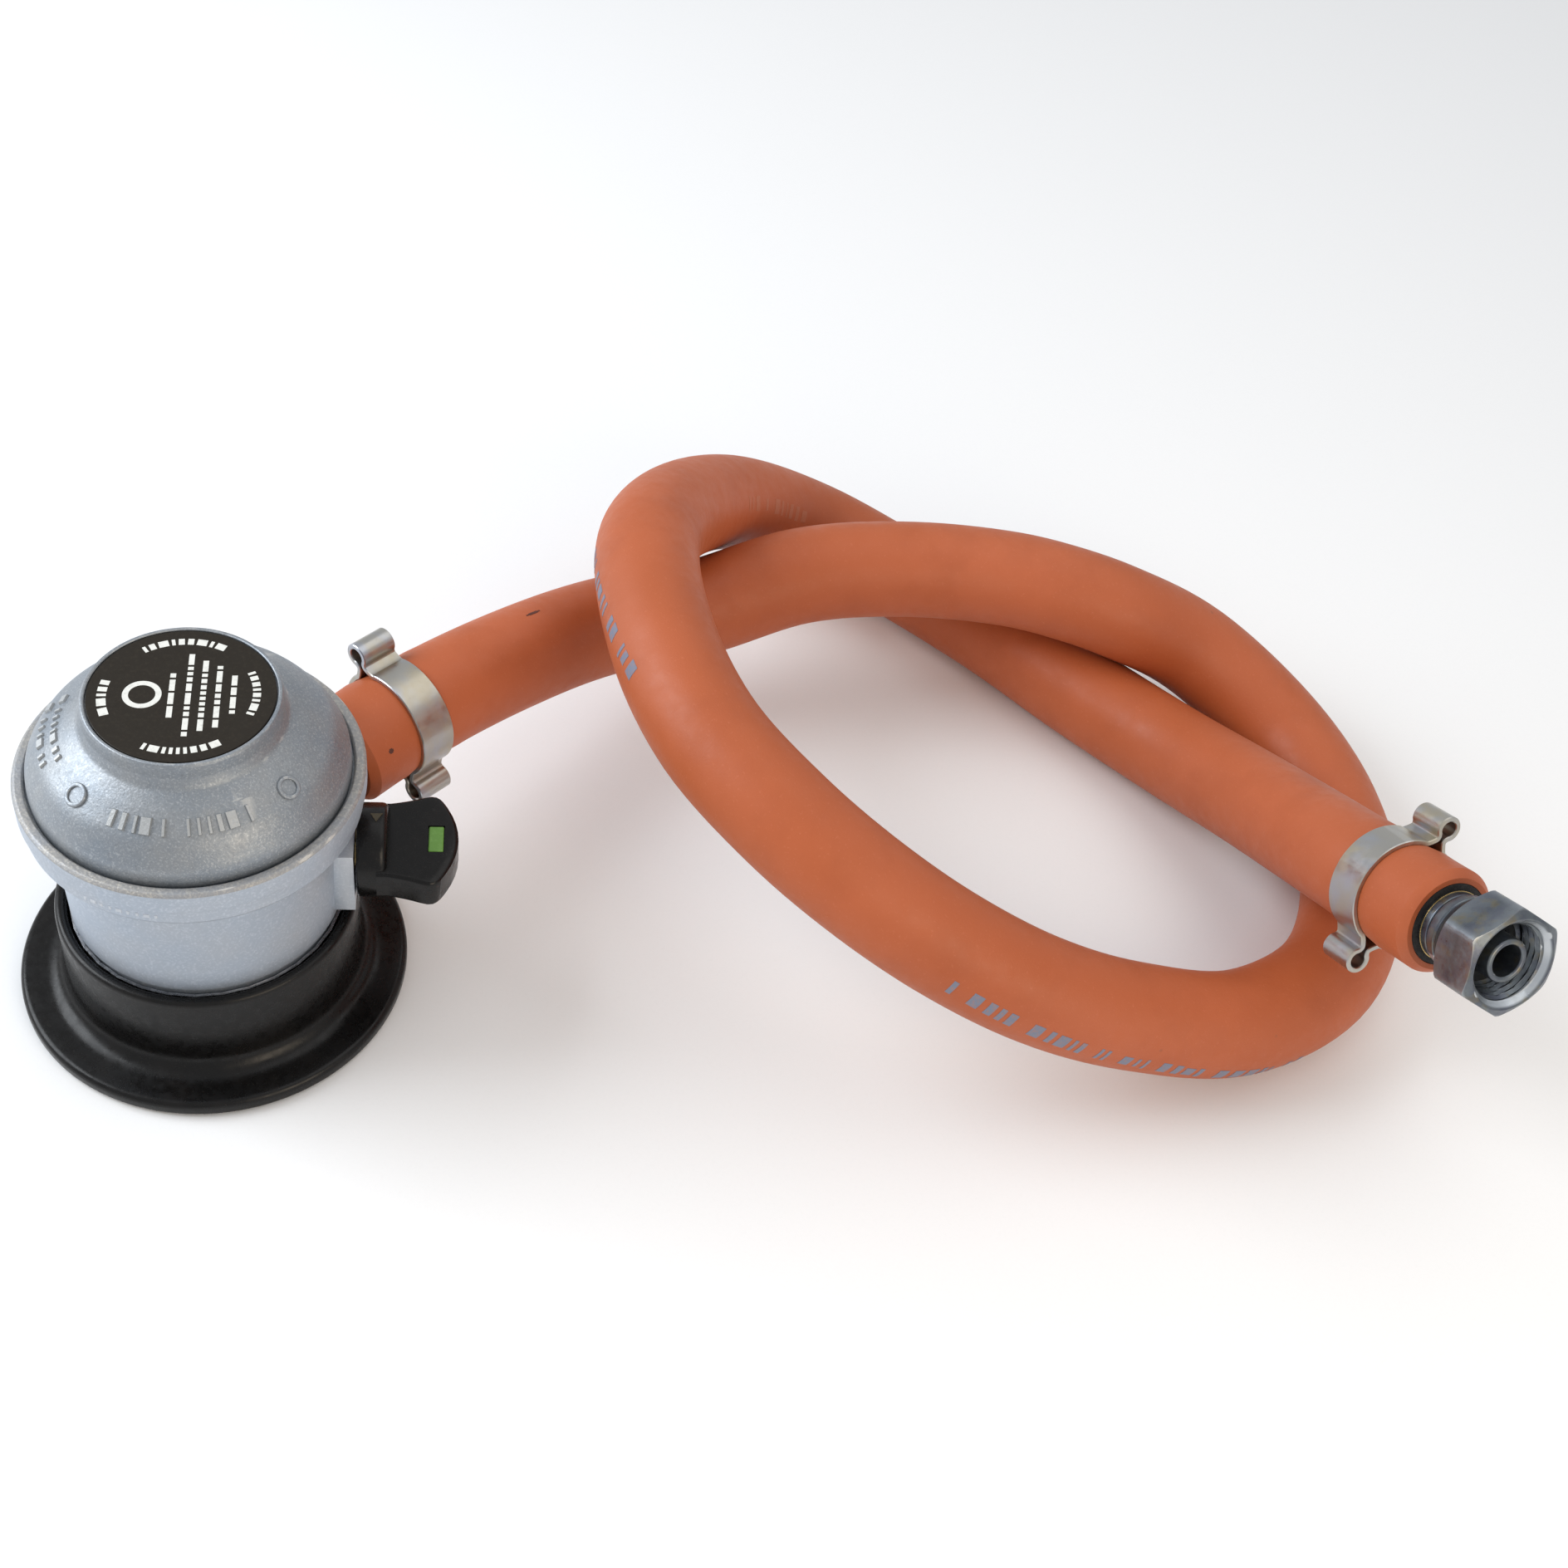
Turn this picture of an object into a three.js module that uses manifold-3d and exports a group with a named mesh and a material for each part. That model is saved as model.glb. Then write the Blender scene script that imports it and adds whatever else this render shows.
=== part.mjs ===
// Clip-on gas bottle regulator with its hose: the regulator stands on its lock ring, and the hose lies
// in a loose overhand knot that ends in a hose tail with a swivel nut.
// Millimetres, +Z up. The regulator's axis is vertical, its outlet points along +Y, and the origin is
// under the middle of the regulator with its knob and nozzle, on the surface that it stands on.
import * as THREE from 'three';
import { mergeVertices } from 'three/addons/utils/BufferGeometryUtils.js';
import Module from 'manifold-3d';

const wasm = await Module();
wasm.setup();

// ---------------------------------------------------------------- driving dimensions
const GAP = 0.3;                    // clearance between pieces that touch or turn
const ROUND = 32;                   // sides of the large turned pieces
const SMALL = 16;                   // sides of the small turned pieces

const AXIS_X = -0.46;               // regulator axis in the part's frame
const AXIS_Y = -9.15;

const SOCKET_R = 17.7;              // takes the 35 mm head of the bottle valve
const SOCKET_TOP = 19.5;
const SKIRT_R = 21.5;               // skirt inside the lock ring
const BODY_LOW_R = 22.3;            // cast body above the lock ring
const BODY_HIGH_R = 22.8;
const WEB_TOP = 35;                 // floor of the low pressure chamber
const CHAMBER_R = 20.5;
const RIM_LOW = 43.4;               // rim that is rolled over the cover
const RIM_SEAT = 46.4;
const RIM_TOP = 50.7;
const RIM_R = 27.1;
const SEAM_R = 25.15;
const COVER_TOP = 66.3;
const LABEL_R = 14.1;

const RING_R = 32.7;                // lock ring flange
const RING_TOP = 20.4;
const LAND_R = 22.0;                // lock sleeve: holds the balls in
const GROOVE_R = 23.4;              // lock sleeve: lets the balls out
const BALL_COUNT = 8;
const BALL_R = 2.6;
const BALL_Z = 5;
const BALL_OUT = 20.4;              // ball centre, ring up and balls free

const SHAFT_Z = 30.5;               // knob and cam shaft
const KNOB_ANGLE = 45;
const PAD_FACE = 24.8;
const HUB_FROM = 25.2;
const HUB_TO = 30.2;
const HUB_R = 7.9;
const KNOB_TIP = 41.4;
const GRIP_THICK = 5.8;
const GRIP_FOOT = 8.1;              // half width of the grip where it leaves the hub
const GRIP_HALF = 9.7;              // half width of the grip near its tip
const SHAFT_END = 29.4;
const CAM_OFFSET = 1;

const JET_X = -12;                  // inlet jet and lever
const LEVER_PIN_X = -9.5;
const LEVER_Z = 42;

const NOZZLE_Z = 30.8;              // outlet and hose
const NOZZLE_END = 51;
const HOSE_START = 29;
const HOSE_R = 9.5;
const HOSE_BORE = 6.5;
const HOSE_SIDES = 12;
const BORE_SIDES = 8;
const HOSE_STEPS = 60;

const BAND_WIDTH = 7;               // two-ear clamps
const BAND_THICK = 1;
const NEAR_CLAMP_AT = 14.5;         // from the regulator end of the hose
const FAR_CLAMP_AT = 15.2;          // from the far end of the hose

const NUT_FLATS = 17;
const NUT_FROM = 6.8;
const NUT_MOUTH = 15.6;
const THREAD_R = 7;

// Route of the hose from the regulator's outlet, measured from the regulator's axis.
const HOSE_ROUTE = [
  [0, 29, 30.8], [0, 45, 30.8], [1, 68, 28.5], [3.3, 92, 24], [12.3, 110.5, 23.8], [23.2, 128.8, 28.5],
  [37.4, 144.2, 30.4], [53.6, 157.8, 30.4], [63.4, 163, 30.3], [73.5, 168.8, 28.4], [87.5, 180, 20.2],
  [110, 182.3, 11.5], [128, 172.5, 9.8], [143, 154, 9.9], [148.5, 133.5, 10], [142.5, 112.5, 11],
  [129.5, 94.5, 17.5], [116.5, 80.5, 26], [101.5, 71, 34], [86, 65, 41.5], [71, 62.7, 47],
  [52.3, 65, 50.5], [32, 75.2, 52], [10.8, 95.6, 49.2], [0, 131.5, 31.5], [7, 155, 15.8],
  [26.5, 162.7, 10.2], [51.5, 163.5, 10], [73, 162.4, 9.9], [96.5, 160.3, 11.8], [118.5, 151.6, 21],
  [141.8, 137.4, 35], [154, 130.3, 41.8], [163.5, 125, 47],
];

// ---------------------------------------------------------------- materials
const material = (color, roughness, metalness) =>
  new THREE.MeshStandardMaterial({ color, roughness, metalness });

const castGrey = material('#a9adb3', 0.5, 0.7);
const castBlueGrey = material('#aab4c0', 0.55, 0.6);
const blackPlastic = material('#141315', 0.3, 0);
const blackLabel = material('#17140f', 0.4, 0);
const rubber = material('#1c1c1c', 0.8, 0);
const hoseRubber = material('#b8603a', 0.6, 0);
const zinc = material('#b9b6a8', 0.25, 1);
const darkZinc = material('#6d737c', 0.35, 1);
const steel = material('#9a9ca0', 0.3, 1);
const brass = material('#b08d4c', 0.3, 1);
const greenMark = material('#5fae45', 0.4, 0);
const redMark = material('#b3342c', 0.4, 0);
const zamak = material('#8f9296', 0.45, 0.8);

// ---------------------------------------------------------------- geometry helpers
const radians = THREE.MathUtils.degToRad;

// Merges shared corners, drops collapsed triangles and turns the faces outwards.
function closed(geometry) {
  const bare = geometry.index ? geometry.toNonIndexed() : geometry.clone();
  bare.deleteAttribute('normal');
  bare.deleteAttribute('uv');
  const merged = mergeVertices(bare, 1e-4);
  const kept = [];
  const index = merged.index.array;
  const position = merged.attributes.position;
  const [a, b, c] = [new THREE.Vector3(), new THREE.Vector3(), new THREE.Vector3()];
  let volume = 0;
  for (let i = 0; i < index.length; i += 3) {
    const [p, q, r] = [index[i], index[i + 1], index[i + 2]];
    if (p === q || q === r || r === p) continue;
    kept.push(p, q, r);
    a.fromBufferAttribute(position, p);
    b.fromBufferAttribute(position, q);
    c.fromBufferAttribute(position, r);
    volume += a.dot(b.cross(c));
  }
  merged.setIndex(volume < 0 ? kept.reverse() : kept);
  return merged;
}

function toSolid(geometry) {
  const merged = closed(geometry);
  return new wasm.Manifold(new wasm.Mesh({
    numProp: 3,
    vertProperties: Float32Array.from(merged.attributes.position.array),
    triVerts: Uint32Array.from(merged.index.array),
  }));
}

function toGeometry(solid) {
  const mesh = solid.getMesh();
  const geometry = new THREE.BufferGeometry();
  geometry.setAttribute('position', new THREE.BufferAttribute(mesh.vertProperties, 3));
  geometry.setIndex(new THREE.BufferAttribute(mesh.triVerts, 1));
  return geometry;
}

const join = (base, ...others) =>
  toGeometry(others.map(toSolid).reduce((sum, other) => sum.add(other), toSolid(base)));
const cut = (base, ...others) =>
  toGeometry(others.map(toSolid).reduce((rest, other) => rest.subtract(other), toSolid(base)));
const common = (base, other) => toGeometry(toSolid(base).intersect(toSolid(other)));

// Turned about +Z from points [radius, height]; a profile off the axis closes on itself.
function turned(profile, sides = ROUND) {
  const points = profile.map(([r, z]) => new THREE.Vector2(r, z));
  if (profile[0][0] > 0) points.push(points[0].clone());
  return new THREE.LatheGeometry(points, sides).rotateX(Math.PI / 2);
}

// The same, turned about +X: points [radius, distance along X].
const turnedX = (profile, sides = SMALL) => turned(profile, sides).rotateY(Math.PI / 2).rotateX(Math.PI);

const rod = (radius, from, to, sides = SMALL) =>
  turned([[0, from], [radius, from], [radius, to], [0, to]], sides);
const rodX = (radius, from, to, sides = SMALL) => rod(radius, from, to, sides).rotateY(Math.PI / 2);
const rodY = (radius, from, to, sides = SMALL) => rod(radius, from, to, sides).rotateX(-Math.PI / 2);

function block([x0, x1], [y0, y1], [z0, z1]) {
  return new THREE.BoxGeometry(x1 - x0, y1 - y0, z1 - z0)
    .translate((x0 + x1) / 2, (y0 + y1) / 2, (z0 + z1) / 2);
}

// A coil spring: round wire wound about +Z.
function spring(radius, wire, from, to, turns) {
  class Helix extends THREE.Curve {
    getPoint(t) {
      const angle = 2 * Math.PI * turns * t;
      return new THREE.Vector3(
        radius * Math.cos(angle), radius * Math.sin(angle), from + wire + (to - from - 2 * wire) * t);
    }
  }
  return extruded(ringPoints(wire, 5), null, new Helix(), Math.round(turns * 12));
}

const ringPoints = (radius, sides) => Array.from({ length: sides }, (_, i) => {
  const angle = (2 * Math.PI * (i + 0.5)) / sides;
  return new THREE.Vector2(radius * Math.cos(angle), radius * Math.sin(angle));
});

function extruded(outline, hole, extrudePath, steps) {
  const shape = new THREE.Shape(outline);
  if (hole) shape.holes.push(new THREE.Path(hole));
  return new THREE.ExtrudeGeometry(shape, { steps, extrudePath });
}

// ---------------------------------------------------------------- scene graph
const part = new THREE.Group();
const regulator = new THREE.Group();
regulator.position.set(AXIS_X, AXIS_Y, 0);
part.add(regulator);

const knobSide = new THREE.Group();       // +X along the cam shaft
knobSide.position.z = SHAFT_Z;
knobSide.rotation.z = radians(KNOB_ANGLE);
const outletSide = new THREE.Group();     // +X along the nozzle
outletSide.position.z = NOZZLE_Z;
outletSide.rotation.z = radians(90);
regulator.add(knobSide, outletSide);

function add(name, geometry, finish, parent = regulator) {
  const mesh = new THREE.Mesh(closed(geometry), finish);
  mesh.name = name;
  parent.add(mesh);
  return mesh;
}

// Geometry made in a side group's frame, moved into the regulator's frame.
const inGroup = (geometry, group) => {
  group.updateMatrix();
  return geometry.applyMatrix4(group.matrix);
};

// ---------------------------------------------------------------- cast lower body
const ballAngle = (k) => radians((360 / BALL_COUNT) * (k + 0.5));

function lowerBody() {
  const SPIGOT_R = 6;
  const SPIGOT_LOW = 13;
  const shell = turned([
    [0, SPIGOT_LOW], [SPIGOT_R, SPIGOT_LOW], [SPIGOT_R, SOCKET_TOP], [SOCKET_R, SOCKET_TOP], [SOCKET_R, 0],
    [SKIRT_R, 0], [SKIRT_R, RING_TOP - 0.2], [BODY_LOW_R, 21], [BODY_HIGH_R, 41.8], [26.4, RIM_LOW],
    [26.6, RIM_SEAT], [RIM_R, RIM_SEAT + 0.4], [RIM_R, RIM_TOP - 0.5], [RIM_R - 0.4, RIM_TOP],
    [SEAM_R + 0.35, RIM_TOP], [SEAM_R, RIM_TOP - 0.4], [SEAM_R, 49.7], [26, 49.7], [26, RIM_SEAT],
    [CHAMBER_R, RIM_SEAT], [CHAMBER_R, WEB_TOP], [0, WEB_TOP],
  ]);
  const knobPad = inGroup(block([18, PAD_FACE], [-6.5, 6.5], [-8.1, 5.4]), knobSide);
  const outletBoss = inGroup(rodX(8.6, 18, 27.7, ROUND), outletSide);
  const PIN_HOLE_R = 1.2;
  const posts = [-1, 1].map((side) => {
    const [near, far] = [3.2 * side, 5 * side].sort((p, q) => p - q);
    return block([LEVER_PIN_X - 1.6, LEVER_PIN_X + 1.6], [near, far], [WEB_TOP - 1, LEVER_Z + 1.6]);
  });
  const solid = join(shell, knobPad, outletBoss, ...posts);

  const plungerBore = rod(3.2, SPIGOT_LOW + 1.3, SHAFT_Z);
  const pinHole = rod(2, SPIGOT_LOW - 1, SPIGOT_LOW + 2);
  const camBore = inGroup(rodX(3.9, -5, PAD_FACE + 1), knobSide);
  const gasAcross = rodX(1.1, JET_X, 0, 12).translate(0, 0, 21.8);
  const gasUp = rod(1.1, 21, 32, 12).translate(JET_X, 0, 0);
  const jetBore = rod(3, 31, WEB_TOP + 1).translate(JET_X, 0, 0);
  const outletUp = rod(3.5, NOZZLE_Z - 2, WEB_TOP + 1).translate(0, 14, 0);
  const outletAcross = inGroup(rodX(3.5, 12, 17), outletSide);
  const nozzleBore = inGroup(rodX(6.3, 16, 28), outletSide);
  const leverPinHole = rodY(PIN_HOLE_R, -6, 6, 12).translate(LEVER_PIN_X, 0, LEVER_Z);
  const ballHoles = Array.from({ length: BALL_COUNT }, (_, k) =>
    rodX(BALL_R + GAP, 16, 23, 16).translate(0, 0, BALL_Z).rotateZ(ballAngle(k)));
  return cut(solid, plungerBore, pinHole, camBore, gasAcross, gasUp, jetBore, outletUp, outletAcross,
    nozzleBore, leverPinHole, ...ballHoles);
}

add('lower_body', lowerBody(), castBlueGrey);

// ---------------------------------------------------------------- cover, label and pressure spring
const PLUG_R = 8.7;
const PLUG_LOW = 60.5;

add('top_cover', turned([
  [PLUG_R + GAP, 59.4], [PLUG_R + GAP, COVER_TOP - 0.8], [LABEL_R + 0.25, COVER_TOP - 0.8],
  [LABEL_R + 0.25, COVER_TOP], [14.8, COVER_TOP], [15.1, COVER_TOP - 0.4], [15.2, 63.4], [15.6, 62.2],
  [16.6, 61.3], [18.4, 60.3], [21.6, 57.8], [23.8, 55.2], [24.7, 53], [24.85, 51.2], [24.85, 49.4],
  [25.7, 49.4], [25.7, 47.6], [20.9, 47.6], [20.8, 50.5], [19.3, 55], [15, 58], [12, 59.4],
]), castGrey);

add('label_disc', rod(LABEL_R, COVER_TOP - 0.5, COVER_TOP + 0.05, ROUND), blackLabel);

add('adjuster_plug', cut(
  turned([[0, PLUG_LOW + 1.6], [5.5, PLUG_LOW + 1.6], [5.5, PLUG_LOW], [PLUG_R, PLUG_LOW],
    [PLUG_R, PLUG_LOW + 4], [0, PLUG_LOW + 4]]),
  rod(3, PLUG_LOW + 2.4, PLUG_LOW + 5, 6)), zamak);

const PLATE_LOW = 46.1;
const PLATE_TOP = 46.9;
add('main_spring', spring(7.2, 0.8, PLATE_TOP + GAP, PLUG_LOW - GAP, 5), steel);

// ---------------------------------------------------------------- diaphragm and valve lever
add('diaphragm', turned([
  [1.95, 45.2], [17, 45.2], [20, 46.7], [25.7, 46.7], [25.7, 47.3], [19.8, 47.3], [16.8, 45.8], [1.95, 45.8],
]), rubber);

add('diaphragm_plate', turned([
  [1.95, PLATE_LOW], [16.2, PLATE_LOW], [16.2, PLATE_TOP], [1.95, PLATE_TOP],
]), steel);

function diaphragmStem() {
  const fork = cut(block([-2.5, 2.5], [-2.5, 2.5], [39.6, 44.3]), block([-4, 4], [-1.9, 1.9], [40.9, 43.1]));
  return join(fork, rod(8, 44.1, 44.9, ROUND), rod(1.6, 44.5, 48.6));
}
add('diaphragm_stem', diaphragmStem(), zamak);
add('stem_nut', turned([
  [1.9, PLATE_TOP + GAP], [3.3, PLATE_TOP + GAP], [3.3, 48.4], [1.9, 48.4],
], 6), steel);

function valveLever() {
  const arm = block([JET_X, 2.2], [-1.5, 1.5], [LEVER_Z - 0.5, LEVER_Z + 0.5]);
  const hub = rodY(1.9, -2.8, 2.8, 16).translate(LEVER_PIN_X, 0, LEVER_Z);
  const cup = turned([
    [0, 41.2], [2.4, 41.2], [2.4, 39.9], [2.8, 39.9], [2.8, LEVER_Z + 0.5], [0, LEVER_Z + 0.5],
  ]).translate(JET_X, 0, 0);
  const pinBore = rodY(1.2, -4, 4, 12).translate(LEVER_PIN_X, 0, LEVER_Z);
  const padRoom = rod(2.4, 36, 41.2).translate(JET_X, 0, 0);
  return cut(join(arm, hub, cup), pinBore, padRoom);
}
add('valve_lever', valveLever(), steel);
add('lever_pin', rodY(0.9, -5.4, 5.4, 12).translate(LEVER_PIN_X, 0, LEVER_Z), steel);
add('valve_pad', rod(2.1, 39.4, 40.9).translate(JET_X, 0, 0), rubber);
add('inlet_jet', turned([
  [0.7, 31.4], [2.7, 31.4], [2.7, 34.7], [1.8, 35.2], [1.8, 37.8], [1.3, 38.7], [0.7, 38.7],
]).translate(JET_X, 0, 0), brass);

// ---------------------------------------------------------------- valve opening pin
const PIN_TIP = 11.4;
const PIN_TOP = 26.3;
add('opening_pin', turned([
  [0, PIN_TIP], [1.1, PIN_TIP], [1.5, PIN_TIP + 0.5], [1.5, 20], [2.9, 20], [2.9, 20.7], [1.5, 20.7],
  [1.5, PIN_TOP - 0.4], [1.1, PIN_TOP], [0, PIN_TOP],
]), brass);
add('pin_spring', spring(2.35, 0.4, 14.6, 19.7, 4), steel);
add('pin_seal', turned([
  [1.8, 23.6], [2.35, 23.1], [2.9, 23.6], [2.9, 24.2], [2.35, 24.7], [1.8, 24.2],
]), rubber);

// ---------------------------------------------------------------- cam shaft and knob
function camShaft() {
  const shaft = turnedX([
    [0, 4.4], [3.5, 4.4], [3.5, 14], [2.3, 14], [2.3, 16.2], [3.5, 16.2], [3.5, HUB_FROM + 0.2],
    [2.6, HUB_FROM + 0.4], [2.6, SHAFT_END], [0, SHAFT_END],
  ]);
  const cam = rodX(2.6, -2.6, 4.6).translate(0, 0, -CAM_OFFSET);
  return cut(join(shaft, cam), rod(1.1, -3, 3, 12).translate(27.8, 0, 0));
}
add('cam_shaft', camShaft(), brass, knobSide);
add('shaft_seal', turnedX([
  [2.6, 14.5], [3.1, 14.3], [3.6, 14.6], [3.6, 15.6], [3.1, 15.9], [2.6, 15.7],
]), rubber, knobSide);
add('knob_pin', rod(0.8, -7.4, 3.6, 12).translate(27.8, 0, 0), steel, knobSide);

const MARK_FROM = 36.9;
const MARK_TO = 39.1;
const MARK_HALF = 2.6;
const MARK_DEEP = 0.5;

// A block on one flat of the grip, from one distance off its middle plane to another.
function markBlock(side, inner, outer, margin) {
  const heights = [side * inner, side * outer].sort((p, q) => p - q);
  return block([MARK_FROM - margin, MARK_TO + margin], [-MARK_HALF - margin, MARK_HALF + margin], heights);
}

function knob() {
  const hub = turnedX([
    [0, HUB_FROM], [HUB_R - 0.5, HUB_FROM], [HUB_R, HUB_FROM + 0.5], [HUB_R, HUB_TO - 0.6],
    [HUB_R - 0.8, HUB_TO], [0, HUB_TO],
  ], ROUND);
  const outline = new THREE.Shape();
  outline.moveTo(HUB_TO - 1, -GRIP_FOOT);
  outline.lineTo(HUB_TO + 2, -GRIP_FOOT);
  outline.lineTo(KNOB_TIP - 4.4, -GRIP_HALF);
  outline.quadraticCurveTo(KNOB_TIP - 2.6, -GRIP_HALF, KNOB_TIP - 1.7, -GRIP_HALF + 2.6);
  outline.quadraticCurveTo(KNOB_TIP, -3.6, KNOB_TIP, 0);
  outline.quadraticCurveTo(KNOB_TIP, 3.6, KNOB_TIP - 1.7, GRIP_HALF - 2.6);
  outline.quadraticCurveTo(KNOB_TIP - 2.6, GRIP_HALF, KNOB_TIP - 4.4, GRIP_HALF);
  outline.lineTo(HUB_TO + 2, GRIP_FOOT);
  outline.lineTo(HUB_TO - 1, GRIP_FOOT);
  const edge = 0.8;
  const grip = new THREE.ExtrudeGeometry(outline, {
    depth: GRIP_THICK - 2 * edge, curveSegments: 3, bevelSize: edge, bevelOffset: -edge,
    bevelThickness: edge, bevelSegments: 1,
  }).translate(0, 0, -GRIP_THICK / 2 + edge);
  const socket = rodX(3, HUB_FROM - 1, SHAFT_END + GAP);
  const relief = rodX(3.9, HUB_FROM - 1, HUB_FROM + 0.5);
  const pinHole = rod(1.1, -9, 4, 12).translate(27.8, 0, 0);
  const pockets = [-1, 1].map((side) =>
    markBlock(side, GRIP_THICK / 2 - MARK_DEEP - GAP, GRIP_THICK / 2 + 1, GAP));
  return cut(join(hub, grip), socket, relief, pinHole, ...pockets);
}
add('knob', knob(), blackPlastic, knobSide);
for (const [name, side, finish] of [['open_mark', 1, greenMark], ['closed_mark', -1, redMark]]) {
  add(name, markBlock(side, GRIP_THICK / 2 - MARK_DEEP, GRIP_THICK / 2 + 0.05, 0), finish, knobSide);
}

// ---------------------------------------------------------------- lock ring, sleeve and balls
const FLANGE_THICK = 3;
const FILLET_R = 3.6;
const FILLET_TOP = FLANGE_THICK + FILLET_R;

function lockRing() {
  const fillet = [1, 2, 3, 4].map((step) => {
    const angle = (step / 4) * Math.PI / 2;
    return [24.9 + FILLET_R * (1 - Math.cos(angle)), FILLET_TOP - FILLET_R * Math.sin(angle)];
  });
  return turned([
    [24.2, 0], [24.2, 8.1], [22.8, 9.5], [22.8, RING_TOP - 1], [23.4, RING_TOP - 0.1], [24.3, RING_TOP],
    [24.9, RING_TOP - 0.7], [24.9, FILLET_TOP], ...fillet, [RING_R - 0.9, FLANGE_THICK],
    [RING_R, FLANGE_THICK - 0.9], [RING_R, 0.8], [RING_R - 0.8, 0],
  ]);
}
add('lock_ring', lockRing(), blackPlastic);
add('lock_sleeve', turned([
  [LAND_R, 9.1], [GROOVE_R, 7.7], [GROOVE_R, 0.8], [GROOVE_R + 0.5, 0.8], [GROOVE_R + 0.5, 7.9],
  [LAND_R + 0.5, 9.3], [LAND_R + 0.5, 19.4], [LAND_R, 19.4],
]), steel);
for (let k = 0; k < BALL_COUNT; k += 1) {
  const ball = new THREE.SphereGeometry(BALL_R, 10, 6).rotateX(Math.PI / 2).translate(BALL_OUT, 0, BALL_Z);
  add(`lock_ball_${k + 1}`, ball.rotateZ(ballAngle(k)), steel);
}

// ---------------------------------------------------------------- outlet nozzle
function barbs(from, count, pitch, low, high) {
  return Array.from({ length: count }, (_, k) => {
    const start = from + k * pitch;
    return [[high, start + 0.4], [low, start + pitch]];
  }).flat();
}

add('outlet_nozzle', turnedX([
  [3.4, 17], [6, 17], [6, 28], [7.6, 28.1], [7.6, 28.7], [5.3, 28.8], [5.3, 31],
  ...barbs(31, 4, 4.4, 5, 5.7), [4.2, NOZZLE_END], [3.4, NOZZLE_END],
]), brass, outletSide);

// ---------------------------------------------------------------- hose
const route = new THREE.CatmullRomCurve3(
  HOSE_ROUTE.map(([x, y, z]) => new THREE.Vector3(x, y, z)), false, 'centripetal');
route.arcLengthDivisions = 1200;
const HOSE_LENGTH = route.getLength();
add('hose', extruded(
  ringPoints(HOSE_R, HOSE_SIDES), ringPoints(HOSE_BORE, BORE_SIDES), route, HOSE_STEPS), hoseRubber);

// Frame on the hose: +X along it, +Y as near as possible to a given direction.
function onHose(distance, sideways) {
  const along = route.getTangentAt(distance / HOSE_LENGTH);
  const up = new THREE.Vector3().crossVectors(along, new THREE.Vector3(...sideways)).normalize();
  const side = new THREE.Vector3().crossVectors(up, along);
  const group = new THREE.Group();
  group.matrix.makeBasis(along, side, up).setPosition(route.getPointAt(distance / HOSE_LENGTH));
  group.matrix.decompose(group.position, group.quaternion, group.scale);
  regulator.add(group);
  return group;
}

// ---------------------------------------------------------------- hose clamps
// Half outline of a band with two keyhole ears: radius of the band, half width of the neck and
// radius of the ear's loop. The other half is the same, turned half a turn.
const EAR_CENTRE = 13.6;
function clampOutline(band, neck, loop) {
  const points = [];
  const bandStart = Math.asin(neck / band);
  const loopStart = Math.asin(neck / loop);
  for (const turn of [0, Math.PI]) {
    const place = (x, y) => points.push(new THREE.Vector2(x, y).rotateAround(new THREE.Vector2(), turn));
    for (let i = 0; i <= 8; i += 1) {
      const angle = -Math.PI + loopStart + ((2 * Math.PI - 2 * loopStart) * i) / 8;
      place(EAR_CENTRE + loop * Math.cos(angle), loop * Math.sin(angle));
    }
    for (let i = 0; i <= 14; i += 1) {
      const angle = bandStart + ((Math.PI - 2 * bandStart) * i) / 14;
      place(band * Math.cos(angle), band * Math.sin(angle));
    }
  }
  return points;
}

function hoseClamp() {
  const inner = HOSE_R + GAP;
  const shape = new THREE.Shape(clampOutline(inner + BAND_THICK, 1.5, 2.2));
  shape.holes.push(new THREE.Path(clampOutline(inner, 0.5, 1.2)));
  return new THREE.ExtrudeGeometry(shape, { depth: BAND_WIDTH, bevelEnabled: false })
    .translate(0, 0, -BAND_WIDTH / 2)
    .rotateZ(Math.PI / 2)
    .rotateY(Math.PI / 2);
}
add('near_clamp', hoseClamp(), zinc, onHose(NEAR_CLAMP_AT, [0.56, 0, -0.83]));
add('far_clamp', hoseClamp(), zinc, onHose(HOSE_LENGTH - FAR_CLAMP_AT, [0, 0.7, 0.71]));

// ---------------------------------------------------------------- hose tail and swivel nut
const farEnd = onHose(HOSE_LENGTH, [0, 0.7, 0.71]);
const BORE_R = 2.8;
const STUB_R = 3.9;
const STUB_END = 14.3;

add('hose_tail', turnedX([
  [BORE_R, -24], [4.4, -24], [5.7, -20], ...barbs(-20, 4, 4.6, 5, 5.7), [5.6, -1.4], [6.1, GAP],
  [6.1, 1.9], [STUB_R, 2], [STUB_R, 7.6], [5.9, 8.6], [5.9, 9.2], [STUB_R, 9.8], [STUB_R, STUB_END],
  [BORE_R, STUB_END],
]), darkZinc, farEnd);

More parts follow.
